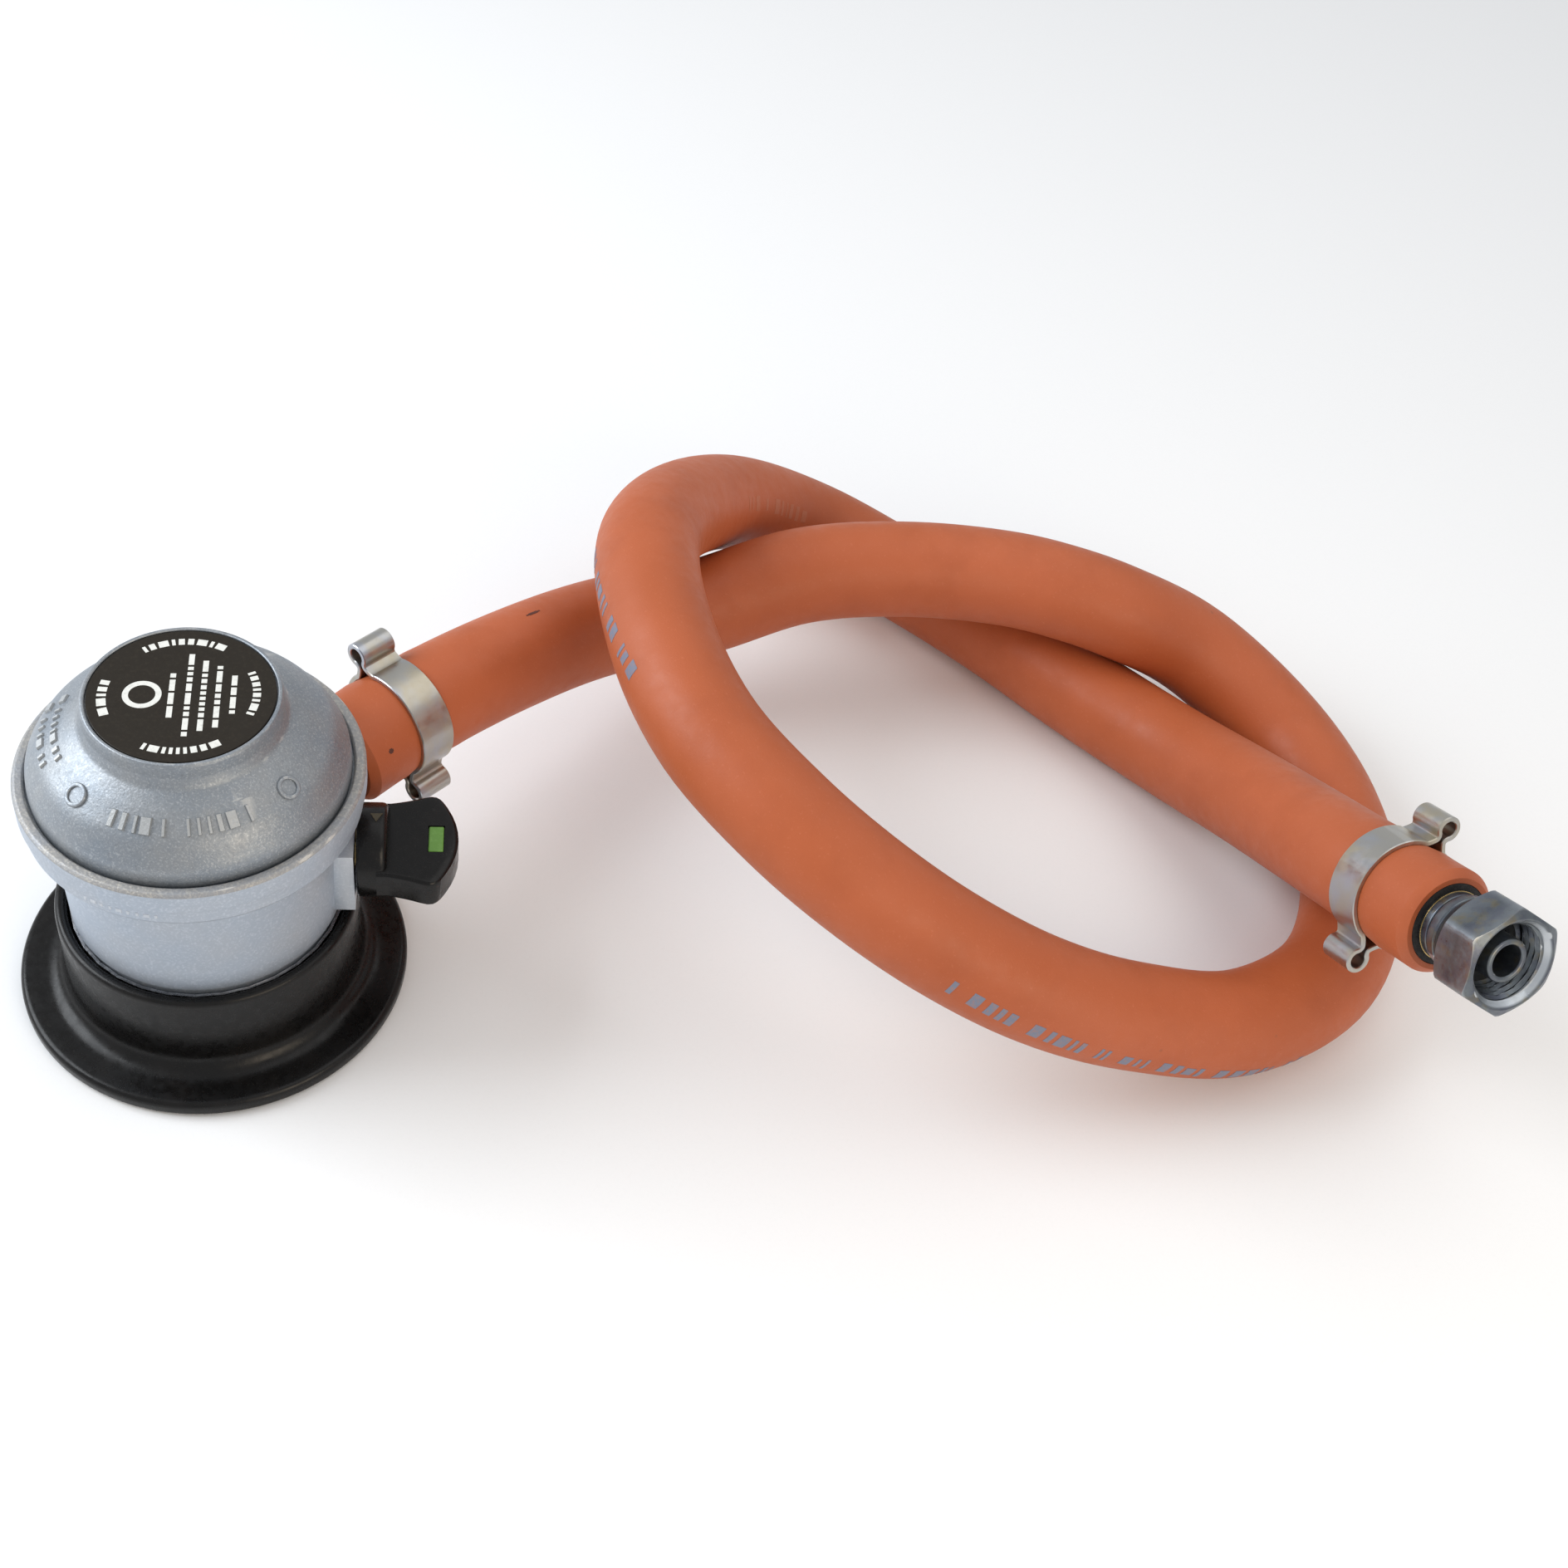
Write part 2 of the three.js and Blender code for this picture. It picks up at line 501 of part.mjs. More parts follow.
function swivelNut() {
  const corner = NUT_FLATS / 2 / Math.cos(Math.PI / 6);
  const hexagon = new THREE.ExtrudeGeometry(new THREE.Shape(ringPoints(corner, 6)), {
    depth: NUT_MOUTH - NUT_FROM, bevelEnabled: false,
  }).rotateY(Math.PI / 2).translate(NUT_FROM, 0, 0);
  const chamfered = turnedX([
    [0, NUT_FROM], [8.3, NUT_FROM], [corner + 0.3, NUT_FROM + 1.2], [corner + 0.3, NUT_MOUTH - 1],
    [8.4, NUT_MOUTH], [0, NUT_MOUTH],
  ], ROUND);
  const collar = turnedX([
    [0, 2.2], [6.2, 2.2], [6.5, 2.5], [6.5, 4.6], [8.3, NUT_FROM], [8.3, NUT_FROM + 1], [0, NUT_FROM + 1],
  ], ROUND);
  const bore = turnedX([
    [0, 1], [4.2, 1], [4.2, 7.3], [THREAD_R - 0.6, 8.2], [THREAD_R, 8.9], [THREAD_R, NUT_MOUTH - 0.8],
    [THREAD_R + 0.9, NUT_MOUTH + 0.1], [THREAD_R + 0.9, NUT_MOUTH + 1], [0, NUT_MOUTH + 1],
  ], ROUND);
  return cut(join(common(hexagon, chamfered), collar), bore);
}
add('swivel_nut', swivelNut(), darkZinc, farEnd);

export default part;
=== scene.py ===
"""A clip-on gas bottle regulator with its hose in a loose overhand knot, on a pale studio floor.

Dimensions are in millimetres. The regulator's axis is +Z, its outlet points along +Y and its knob
along KNOB_ANGLE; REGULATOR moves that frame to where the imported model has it.
"""
import math
import random

import bmesh
import bpy
from mathutils import Matrix, Vector


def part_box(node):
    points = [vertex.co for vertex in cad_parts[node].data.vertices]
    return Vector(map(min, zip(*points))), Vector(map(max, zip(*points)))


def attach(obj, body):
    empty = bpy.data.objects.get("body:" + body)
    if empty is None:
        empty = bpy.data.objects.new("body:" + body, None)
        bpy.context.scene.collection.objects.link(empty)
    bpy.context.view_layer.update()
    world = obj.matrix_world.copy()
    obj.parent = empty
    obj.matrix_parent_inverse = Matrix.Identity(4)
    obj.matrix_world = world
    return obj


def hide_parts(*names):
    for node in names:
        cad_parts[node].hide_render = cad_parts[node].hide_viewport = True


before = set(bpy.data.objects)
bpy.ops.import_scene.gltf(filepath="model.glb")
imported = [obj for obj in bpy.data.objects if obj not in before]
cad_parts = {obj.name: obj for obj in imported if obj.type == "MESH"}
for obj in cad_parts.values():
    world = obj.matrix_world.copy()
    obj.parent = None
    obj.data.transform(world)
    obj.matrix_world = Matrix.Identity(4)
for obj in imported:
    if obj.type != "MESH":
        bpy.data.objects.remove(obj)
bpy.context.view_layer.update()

MM = 0.001


def mid(node):
    """The middle of a CAD node's box, in millimetres."""
    low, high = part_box(node)
    return (low + high) / 2 / MM


# ---------------------------------------------------------------- places
AXIS = Vector((mid("lock_ring").x, mid("lock_ring").y, 0))
REGULATOR = Matrix.Translation(AXIS)
KNOB_ANGLE = 45
ALONG_X = Matrix.Rotation(math.radians(90), 4, "Y")       # takes a shape turned about +Z to +X


def outwards(angle, height):
    """The regulator's frame turned so that +X points out at that angle, at that height."""
    return REGULATOR @ Matrix.Translation((0, 0, height)) @ Matrix.Rotation(math.radians(angle), 4, "Z")


KNOB = outwards(KNOB_ANGLE, mid("cam_shaft").z)
OUTLET = outwards(90, mid("outlet_nozzle").z)

# ---------------------------------------------------------------- camera
CAMERA_FROM_AXIS = (188.63, -123.57, 289.76)
CAMERA_TURN, CAMERA_TILT, CAMERA_ROLL = 32.5, 43.15, 10.265
LENS = 45.76


def make_camera():
    data = bpy.data.cameras.new("camera")
    data.sensor_width = 36
    data.lens = LENS
    data.clip_start = 0.01
    camera = bpy.data.objects.new("camera", data)
    bpy.context.scene.collection.objects.link(camera)
    place = Matrix.Translation((AXIS + Vector(CAMERA_FROM_AXIS)) * MM)
    for angle, axis in ((CAMERA_TURN, "Z"), (CAMERA_TILT, "X"), (CAMERA_ROLL, "Z")):
        place = place @ Matrix.Rotation(math.radians(angle), 4, axis)
    camera.matrix_world = place
    bpy.context.scene.camera = camera


make_camera()


# ---------------------------------------------------------------- materials
class Finish:
    """A Principled material, built up by layers of noise in the object's own coordinates."""

    def __init__(self, name, colour, roughness, metallic=0.0, **sockets):
        self.material = bpy.data.materials.new(name)
        self.material.use_nodes = True
        self.tree = self.material.node_tree
        self.shader = self.tree.nodes["Principled BSDF"]
        self.shader.inputs["Base Color"].default_value = (*colour, 1)
        self.shader.inputs["Roughness"].default_value = roughness
        self.shader.inputs["Metallic"].default_value = metallic
        for socket, value in sockets.items():
            self.shader.inputs[socket.replace("_", " ")].default_value = value
        self.place = self.node("ShaderNodeTexCoord").outputs["Object"]
        self.colour = None
        self.normal = None

    def node(self, kind, **settings):
        node = self.tree.nodes.new(kind)
        for key, value in settings.items():
            if key in node.inputs:
                node.inputs[key].default_value = value
            else:
                setattr(node, key, value)
        return node

    def link(self, source, target):
        self.tree.links.new(source, target)

    def noise(self, size, detail, stretch=(1, 1, 1)):
        """Noise from 0 to 1 whose blotches are about that many millimetres across."""
        scaled = self.node("ShaderNodeMapping", Scale=tuple(s / (size * MM) for s in stretch))
        self.link(self.place, scaled.inputs["Vector"])
        noise = self.node("ShaderNodeTexNoise", Scale=1.0, Detail=detail, Roughness=0.55)
        self.link(scaled.outputs["Vector"], noise.inputs["Vector"])
        return noise.outputs["Fac"]

    def cells(self, size):
        """Distance to the nearest of points that are about that many millimetres apart."""
        cells = self.node("ShaderNodeTexVoronoi", Scale=1 / (size * MM))
        self.link(self.place, cells.inputs["Vector"])
        return cells.outputs["Distance"]

    def remap(self, source, low, high, to_low, to_high):
        """A value that goes from to_low to to_high while the source goes from low to high."""
        fitted = self.node("ShaderNodeMapRange", clamp=True)
        for socket, value in zip(("From Min", "From Max", "To Min", "To Max"), (low, high, to_low, to_high)):
            fitted.inputs[socket].default_value = value
        self.link(source, fitted.inputs["Value"])
        return fitted.outputs["Result"]

    def tint(self, factor, colour, low, high, amount=1.0):
        """Lays a colour over what is there, where the factor goes from low to high."""
        mix = self.node("ShaderNodeMix", data_type="RGBA")
        base = self.shader.inputs["Base Color"]
        if self.colour:
            self.link(self.colour, mix.inputs[6])
        else:
            mix.inputs[6].default_value = base.default_value
        mix.inputs[7].default_value = (*colour, 1)
        self.link(self.remap(factor, low, high, 0, amount), mix.inputs[0])
        self.colour = mix.outputs[2]
        return self

    def rough(self, factor, low, high):
        """Lets the roughness wander between two values."""
        self.link(self.remap(factor, 0.3, 0.7, low, high), self.shader.inputs["Roughness"])
        return self

    def relief(self, height, depth):
        """Bumps of that depth in millimetres."""
        bump = self.node("ShaderNodeBump", Strength=1.0, Distance=depth * MM)
        self.link(height, bump.inputs["Height"])
        if self.normal:
            self.link(self.normal, bump.inputs["Normal"])
        self.normal = bump.outputs["Normal"]
        return self

    def edges(self, colour, low, high, amount):
        """Wear: the colour shows on raised edges."""
        return self.tint(self.node("ShaderNodeNewGeometry").outputs["Pointiness"], colour, low, high, amount)

    def done(self):
        """Links the last layers to the shader."""
        if self.colour:
            self.link(self.colour, self.shader.inputs["Base Color"])
        if self.normal:
            self.link(self.normal, self.shader.inputs["Normal"])
        return self.material


def cast_cover():
    f = Finish("cast_cover", (0.255, 0.285, 0.32), 0.5, 0.78)
    f.tint(f.noise(9, 4), (0.345, 0.345, 0.34), 0.35, 0.7, 0.6)
    f.tint(f.noise(0.32, 2), (0.55, 0.57, 0.59), 0.52, 0.74, 0.5)
    f.tint(f.noise(0.5, 2), (0.18, 0.19, 0.205), 0.55, 0.78, 0.4)
    f.edges((0.58, 0.58, 0.56), 0.53, 0.62, 0.5)
    f.rough(f.noise(0.8, 3), 0.42, 0.56)
    f.relief(f.noise(0.4, 3), 0.05).relief(f.noise(3, 2), 0.05)
    return f.done()


def cast_rim():
    f = Finish("cast_rim", (0.33, 0.325, 0.32), 0.55, 0.6)
    f.tint(f.noise(0.38, 3), (0.60, 0.565, 0.50), 0.47, 0.7, 0.65)
    f.tint(f.noise(7, 3), (0.30, 0.33, 0.38), 0.45, 0.65, 0.5)
    f.edges((0.72, 0.70, 0.66), 0.53, 0.6, 0.6)
    f.rough(f.noise(0.6, 3), 0.48, 0.64)
    f.relief(f.noise(0.45, 4), 0.09)
    return f.done()


def cast_body():
    f = Finish("cast_body", (0.38, 0.43, 0.50), 0.44, 0.6)
    f.tint(f.noise(14, 3), (0.43, 0.44, 0.46), 0.4, 0.7, 0.5)
    f.tint(f.noise(0.45, 2), (0.60, 0.64, 0.70), 0.5, 0.75, 0.5)
    f.edges((0.7, 0.71, 0.72), 0.53, 0.62, 0.4)
    f.rough(f.noise(1.2, 3), 0.42, 0.54)
    f.relief(f.noise(0.5, 3), 0.03).relief(f.noise(5, 2), 0.05)
    return f.done()


def black_plastic(name, grain, roughness):
    f = Finish(name, (0.004, 0.0037, 0.0036), roughness, 0.0, Specular_IOR_Level=0.26)
    f.tint(f.noise(5, 3), (0.0065, 0.0055, 0.005), 0.45, 0.7)
    f.tint(f.noise(0.4, 2), (0.04, 0.036, 0.03), 0.66, 0.78, 0.5)
    f.rough(f.noise(1.6, 4), roughness - 0.06, roughness + 0.12)
    f.relief(f.noise(0.5, 3), grain).relief(f.noise(6, 2), grain * 2)
    return f.done()


def hose_rubber():
    f = Finish("hose_rubber", (0.40, 0.090, 0.026), 0.5, 0.0, Specular_IOR_Level=0.4)
    f.tint(f.noise(38, 3), (0.47, 0.115, 0.042), 0.35, 0.65, 0.7)
    f.tint(f.noise(11, 3), (0.33, 0.070, 0.020), 0.5, 0.78, 0.4)
    f.tint(f.noise(0.5, 2), (0.56, 0.18, 0.09), 0.62, 0.8, 0.3)
    f.tint(f.cells(16), (0.30, 0.08, 0.03), 0.028, 0.018, 0.7)
    f.rough(f.noise(2.5, 4), 0.46, 0.6)
    f.relief(f.noise(0.35, 3), 0.03).relief(f.noise(5, 2), 0.06)
    return f.done()


def hose_liner():
    f = Finish("hose_liner", (0.012, 0.011, 0.011), 0.7)
    f.tint(f.noise(1.2, 3), (0.03, 0.028, 0.026), 0.45, 0.7)
    f.relief(f.noise(0.5, 3), 0.08)
    return f.done()


def zinc_plate():
    f = Finish("zinc_plate", (0.43, 0.415, 0.38), 0.34, 1.0)
    f.tint(f.noise(6, 2), (0.46, 0.40, 0.28), 0.42, 0.62, 0.8)
    f.tint(f.noise(8, 2, (1, 1.7, 0.8)), (0.40, 0.44, 0.54), 0.5, 0.68, 0.7)
    f.tint(f.noise(0.7, 3), (0.30, 0.29, 0.27), 0.62, 0.8, 0.4)
    f.edges((0.66, 0.65, 0.62), 0.54, 0.62, 0.5)
    f.rough(f.noise(1.5, 4), 0.28, 0.4)
    f.relief(f.noise(0.5, 3), 0.008)
    return f.done()


def dark_zinc():
    f = Finish("dark_zinc", (0.15, 0.17, 0.185), 0.36, 0.9)
    f.tint(f.noise(3.5, 3), (0.095, 0.105, 0.14), 0.42, 0.62, 0.8)
    f.tint(f.noise(2.6, 2), (0.20, 0.17, 0.10), 0.54, 0.72, 0.7)
    f.tint(f.noise(0.9, 3), (0.09, 0.095, 0.105), 0.55, 0.8, 0.5)
    f.edges((0.60, 0.64, 0.68), 0.53, 0.6, 0.8)
    f.rough(f.noise(1.2, 4), 0.26, 0.44)
    f.relief(f.noise(0.8, 3), 0.02)
    return f.done()


def machined(name, colour, darker):
    f = Finish(name, colour, 0.28, 1.0)
    f.tint(f.noise(2.5, 3), darker, 0.45, 0.7, 0.6)
    f.rough(f.noise(0.8, 3), 0.2, 0.38)
    f.relief(f.noise(0.35, 3), 0.01)
    return f.done()


def plain(name, colour, roughness, speck, shine=0.5):
    f = Finish(name, colour, roughness, Specular_IOR_Level=shine)
    f.tint(f.noise(0.6, 3), speck, 0.5, 0.75, 0.6)
    f.rough(f.noise(1.5, 3), roughness - 0.08, roughness + 0.1)
    f.relief(f.noise(0.5, 3), 0.012)
    return f.done()


COVER = cast_cover()
RIM = cast_rim()
BODY = cast_body()
PLASTIC = black_plastic("black_plastic", 0.014, 0.26)
KNOB_PLASTIC = black_plastic("knob_plastic", 0.012, 0.22)
HOSE = hose_rubber()
LINER = hose_liner()
ZINC = zinc_plate()
DARK_ZINC = dark_zinc()
BRASS = machined("brass", (0.60, 0.43, 0.19), (0.40, 0.28, 0.12))
STEEL = machined("steel", (0.56, 0.56, 0.57), (0.38, 0.38, 0.40))
ZAMAK = machined("zamak", (0.44, 0.45, 0.47), (0.33, 0.34, 0.36))
SEAL = plain("black_rubber", (0.014, 0.014, 0.014), 0.6, (0.03, 0.03, 0.03))
LABEL = plain("label_black", (0.014, 0.010, 0.0055), 0.5, (0.026, 0.020, 0.012), 0.25)
POINTER = plain("pointer_khaki", (0.055, 0.042, 0.018), 0.5, (0.03, 0.024, 0.012))
PRINT = plain("label_print", (0.72, 0.72, 0.68), 0.5, (0.5, 0.5, 0.46))
GREEN = plain("open_green", (0.12, 0.28, 0.045), 0.45, (0.18, 0.36, 0.08))
RED = plain("closed_red", (0.45, 0.03, 0.02), 0.45, (0.55, 0.06, 0.04))
INK = plain("hose_ink", (0.17, 0.185, 0.25), 0.6, (0.40, 0.16, 0.09))
FADED_INK = plain("faded_hose_ink", (0.42, 0.125, 0.055), 0.6, (0.40, 0.10, 0.035))
SPECK = plain("hose_speck", (0.085, 0.022, 0.012), 0.6, (0.16, 0.04, 0.02))

CAD_FINISHES = {
    "adjuster_plug": ZAMAK, "main_spring": STEEL, "diaphragm": SEAL, "diaphragm_plate": STEEL,
    "diaphragm_stem": ZAMAK, "stem_nut": STEEL, "valve_lever": STEEL, "lever_pin": STEEL, "valve_pad": SEAL,
    "inlet_jet": BRASS, "opening_pin": BRASS, "pin_spring": STEEL, "pin_seal": SEAL, "cam_shaft": BRASS,
    "shaft_seal": SEAL, "knob_pin": STEEL, "lock_sleeve": STEEL,
}


# ---------------------------------------------------------------- mesh making
CREASE = 32                    # faces that meet at more degrees than this are shaded as an edge


def piece(name, shape, material, body, node=None, place=REGULATOR, crease=CREASE):
    """A mesh piece from points in millimetres and faces, riding on a body and standing for a CAD node."""
    points, faces = shape
    mesh = bpy.data.meshes.new(name)
    mesh.from_pydata([(place @ Vector(p)) * MM for p in points], [], faces)
    mesh.materials.append(material)
    tidy = bmesh.new()
    tidy.from_mesh(mesh)
    bmesh.ops.recalc_face_normals(tidy, faces=tidy.faces)
    tidy.to_mesh(mesh)
    tidy.free()
    smooth(mesh, crease)
    obj = bpy.data.objects.new(name, mesh)
    bpy.context.scene.collection.objects.link(obj)
    if body:
        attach(obj, body)
    if node:
        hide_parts(node)
    return obj


def smooth(mesh, crease=CREASE):
    """Smooth shading that breaks where faces meet at more than crease degrees."""
    mesh.polygons.foreach_set("use_smooth", [True] * len(mesh.polygons))
    mesh.set_sharp_from_angle(angle=math.radians(crease))


def bevel(obj, width, segments):
    """Rounds every edge sharper than 35 degrees."""
    modifier = obj.modifiers.new("round_edges", "BEVEL")
    modifier.width = width * MM
    modifier.segments = segments
    modifier.limit_method = "ANGLE"
    modifier.angle_limit = math.radians(35)


def carve(obj, cutters, operation="DIFFERENCE"):
    """Cuts or joins loose shapes, each (shape, place), into a piece for good."""
    for shape, place in cutters:
        other = piece("cutter", shape, None, None, place=place)
        modifier = obj.modifiers.new("carve", "BOOLEAN")
        modifier.operation = operation
        modifier.solver = "EXACT"
        modifier.object = other
        bpy.context.view_layer.update()
        carved = bpy.data.meshes.new_from_object(obj.evaluated_get(bpy.context.evaluated_depsgraph_get()))
        obj.modifiers.clear()
        obj.data = carved
        bpy.data.objects.remove(other)
    smooth(obj.data)


def rounded(corners, closed=True, steps=5):
    """A line through corners [x, y] or [x, y, radius], each with a radius turned into an arc."""
    out = []
    for i, corner in enumerate(corners):
        here = Vector(corner[:2])
        radius = corner[2] if len(corner) > 2 else 0
        if not radius or (not closed and i in (0, len(corners) - 1)):
            out.append(tuple(here))
            continue
        before = Vector(corners[i - 1][:2]) - here
        after = Vector(corners[(i + 1) % len(corners)][:2]) - here
        half = before.angle(after) / 2
        reach = min(radius / math.tan(half), 0.49 * before.length, 0.49 * after.length)
        radius = reach * math.tan(half)
        centre = here + (before.normalized() + after.normalized()).normalized() * radius / math.sin(half)
        start = here + before.normalized() * reach - centre
        end = here + after.normalized() * reach - centre
        turn = -start.angle_signed(end)
        for k in range(steps + 1):
            arm = start.copy()
            arm.rotate(Matrix.Rotation(turn * k / steps, 2))
            out.append(tuple(centre + arm))
    return out


def lathe(profile, sides):
    """Points and faces of a profile [radius, height] turned about +Z. On the axis it ends in a point."""
    points, rings = [], []
    for r, z in profile:
        if r < 1e-6:
            rings.append([len(points)] * sides)
            points.append((0, 0, z))
        else:
            rings.append(list(range(len(points), len(points) + sides)))
            points += [(r * math.cos(a), r * math.sin(a), z)
                       for a in (2 * math.pi * k / sides for k in range(sides))]
    return points, skin(rings, profile[0][0] > 1e-6)


def skin(rings, closed):
    """Faces between rings of as many points; a closed one joins the last ring to the first."""
    faces = []
    count = len(rings[0])
    for low, high in zip(rings, rings[1:] + rings[:1] if closed else rings[1:]):
        for k in range(count):
            corners = [low[k], low[(k + 1) % count], high[(k + 1) % count], high[k]]
            face = [c for i, c in enumerate(corners) if c != corners[i - 1]]
            if len(face) > 2:
                faces.append(face)
    return faces


def prism(outline, low, high):
    """An outline in X and Y, pulled up along +Z."""
    count = len(outline)
    points = [(x, y, z) for z in (low, high) for x, y in outline]
    faces = skin([list(range(count)), list(range(count, 2 * count))], False)
    return points, [*faces, list(range(count))[::-1], list(range(count, 2 * count))]


def block(x, y, z):
    """A box between two values along each axis."""
    return prism([(x[0], y[0]), (x[1], y[0]), (x[1], y[1]), (x[0], y[1])], *z)


def gathered(shapes):
    """Several shapes as one."""
    points, faces = [], []
    for some_points, some_faces in shapes:
        faces += [[i + len(points) for i in face] for face in some_faces]
        points += some_points
    return points, faces


# ---------------------------------------------------------------- hose
HOSE_ROUTE = [
    (0, 29, 30.8), (0, 45, 30.8), (1, 68, 28.5), (3.3, 92, 24), (12.3, 110.5, 23.8), (23.2, 128.8, 28.5),
    (37.4, 144.2, 30.4), (53.6, 157.8, 30.4), (63.4, 163, 30.3), (73.5, 168.8, 28.4), (87.5, 180, 20.2),
    (110, 182.3, 11.5), (128, 172.5, 9.8), (143, 154, 9.9), (148.5, 133.5, 10), (142.5, 112.5, 11),
    (129.5, 94.5, 17.5), (116.5, 80.5, 26), (101.5, 71, 34), (86, 65, 41.5), (71, 62.7, 47),
    (52.3, 65, 50.5), (32, 75.2, 52), (10.8, 95.6, 49.2), (0, 131.5, 31.5), (7, 155, 15.8),
    (26.5, 162.7, 10.2), (51.5, 163.5, 10), (73, 162.4, 9.9), (96.5, 160.3, 11.8), (118.5, 151.6, 21),
    (141.8, 137.4, 35), (154, 130.3, 41.8), (163.5, 125, 47),
]
HOSE_R = 9.5
LINER_R = 7.4
BORE_R = 5.9
STATION = 2.5                  # between rings of the hose
END_BEVEL = 1.5                # how far the bevel at each cut end reaches along the hose
PRINT_HIGH, PRINT_DEEP = 0.035, 0.3        # a printed patch, above and below the hose's face


def centripetal(points, per_span=40):
    """The centripetal Catmull-Rom curve through the points, as a fine line."""
    points = [Vector(p) for p in points]
    ends = [2 * points[0] - points[1], *points, 2 * points[-1] - points[-2]]
    line = []
    for a, b, c, d in zip(ends, ends[1:], ends[2:], ends[3:]):
        t0, t1, t2 = (math.sqrt((q - p).length) for p, q in ((a, b), (b, c), (c, d)))
        leave = ((b - a) / t0 - (c - a) / (t0 + t1) + (c - b) / t1) * t1
        arrive = ((c - b) / t1 - (d - b) / (t1 + t2) + (d - c) / t2) * t1
        for k in range(per_span):
            u = k / per_span
            line.append(b * (2 * u**3 - 3 * u**2 + 1) + leave * (u**3 - 2 * u**2 + u)
                        + c * (3 * u**2 - 2 * u**3) + arrive * (u**3 - u**2))
    return [*line, points[-1]]


class Route:
    """A line with its length, and a frame at every point that turns as little as it can."""

    def __init__(self, line, up):
        self.line = line
        self.at = [0.0]
        for p, q in zip(line, line[1:]):
            self.at.append(self.at[-1] + (q - p).length)
        self.length = self.at[-1]
        self.along = [(line[min(i + 1, len(line) - 1)] - line[max(i - 1, 0)]).normalized()
                      for i in range(len(line))]
        self.side = []
        side = Vector(up)
        for along in self.along:
            side = (side - along * side.dot(along)).normalized()
            self.side.append(side)

    def frame(self, distance):
        """Position, direction along, and two directions across at a distance from the start."""
        distance = min(max(distance, 0), self.length)
        low, high = 0, len(self.at) - 1
        while high - low > 1:
            middle = (low + high) // 2
            low, high = (middle, high) if self.at[middle] <= distance else (low, middle)
        t = (distance - self.at[low]) / max(self.at[high] - self.at[low], 1e-9)
        along = self.along[low].lerp(self.along[high], t).normalized()
        side = self.side[low].lerp(self.side[high], t)
        side = (side - along * side.dot(along)).normalized()
        return self.line[low].lerp(self.line[high], t), along, side, along.cross(side)

    def place(self, distance, sideways):
        """A matrix with +X along the line and +Y as near as it can be to sideways."""
        here, along, _, _ = self.frame(distance)
        up = along.cross(Vector(sideways)).normalized()
        side = up.cross(along)
        return Matrix.Translation(here) @ Matrix((along, side, up)).transposed().to_4x4()


route = Route(centripetal(HOSE_ROUTE), (0, 0, 1))
NEAR_CLAMP_AT = 14.5
FAR_CLAMP_AT = route.length - 15.2
PINCH = 0.35                   # how far a clamp squeezes the hose in
BAND_WIDTH = 7


def hose_radius(distance):
    """The outer radius along the hose: pinched under the clamps, a little swollen beside them."""
    radius = HOSE_R
    for clamp in (NEAR_CLAMP_AT, FAR_CLAMP_AT):
        away = abs(distance - clamp) / (BAND_WIDTH / 2)
        radius -= PINCH / (1 + away**6)
        radius += 0.12 * math.exp(-((away - 1.7) / 0.45) ** 2)
    return radius


def tube(rings, sides):
    """Rings [distance, radius] on the hose's route, the last joined to the first."""
    points, index = [], []
    for distance, radius in rings:
        here, _, side, up = route.frame(distance)
        index.append(list(range(len(points), len(points) + sides)))
        for k in range(sides):
            angle = 2 * math.pi * k / sides
            r = radius(angle) if callable(radius) else radius
            points.append(here + r * (math.cos(angle) * side + math.sin(angle) * up))
    return points, skin(index, True)


def stations(start, end, step=STATION):
    """Distances from start to end, about a step apart."""
    count = max(2, round(abs(end - start) / step))
    return [start + (end - start) * k / count for k in range(count + 1)]


def make_hose():
    length = route.length
    bevelled = [(0, HOSE_R - 1.2), (0.1, HOSE_R - 1.1), (END_BEVEL - 0.1, HOSE_R - 0.06)]
    outer = bevelled + [(s, hose_radius(s)) for s in stations(END_BEVEL, length - END_BEVEL)]
    outer += [(length - s, radius) for s, radius in bevelled[::-1]]
    inner = [(s, LINER_R) for s in stations(length, 0, 2 * STATION)]
    return piece("gas_hose", tube(outer + inner, 64), HOSE, "regulator", "hose", crease=22)


def make_liner():
    """The black inner tube, cut a little ragged at its ends."""
    length = route.length
    sides = 48
    rng = random.Random(3)
    wobble = [rng.uniform(-0.18, 0.1) for _ in range(sides)]

    def ragged(angle):
        return LINER_R - 0.05 + wobble[int(angle / (2 * math.pi) * sides) % sides] * 0.6

    outer = [(-0.15, ragged)] + [(s, LINER_R - 0.06) for s in stations(0.6, length - 0.6, 2 * STATION)]
    outer += [(length + 0.1, ragged)]
    inner = [(s, BORE_R) for s in stations(length, 0, 2 * STATION)]
    return piece("hose_inner_tube", tube(outer + inner, sides), LINER, "regulator")


def printed(start, end, facing, half_width):
    """A thin curved patch on the hose between two distances, centred on the side that faces a direction."""
    points, rings = [], []
    for distance in (start, end):
        here, along, _, _ = route.frame(distance)
        out = (facing - along * facing.dot(along)).normalized()
        across = along.cross(out)
        angles = [half_width / HOSE_R * k / 3 for k in range(-3, 4)]
        arcs = ((HOSE_R + PRINT_HIGH, angles), (HOSE_R - PRINT_DEEP, angles[::-1]))
        section = [here + radius * (math.cos(a) * out + math.sin(a) * across)
                   for radius, order in arcs for a in order]
        rings.append(list(range(len(points), len(points) + len(section))))
        points += section
    return points, [*skin(rings, False), rings[0][::-1], rings[1]]


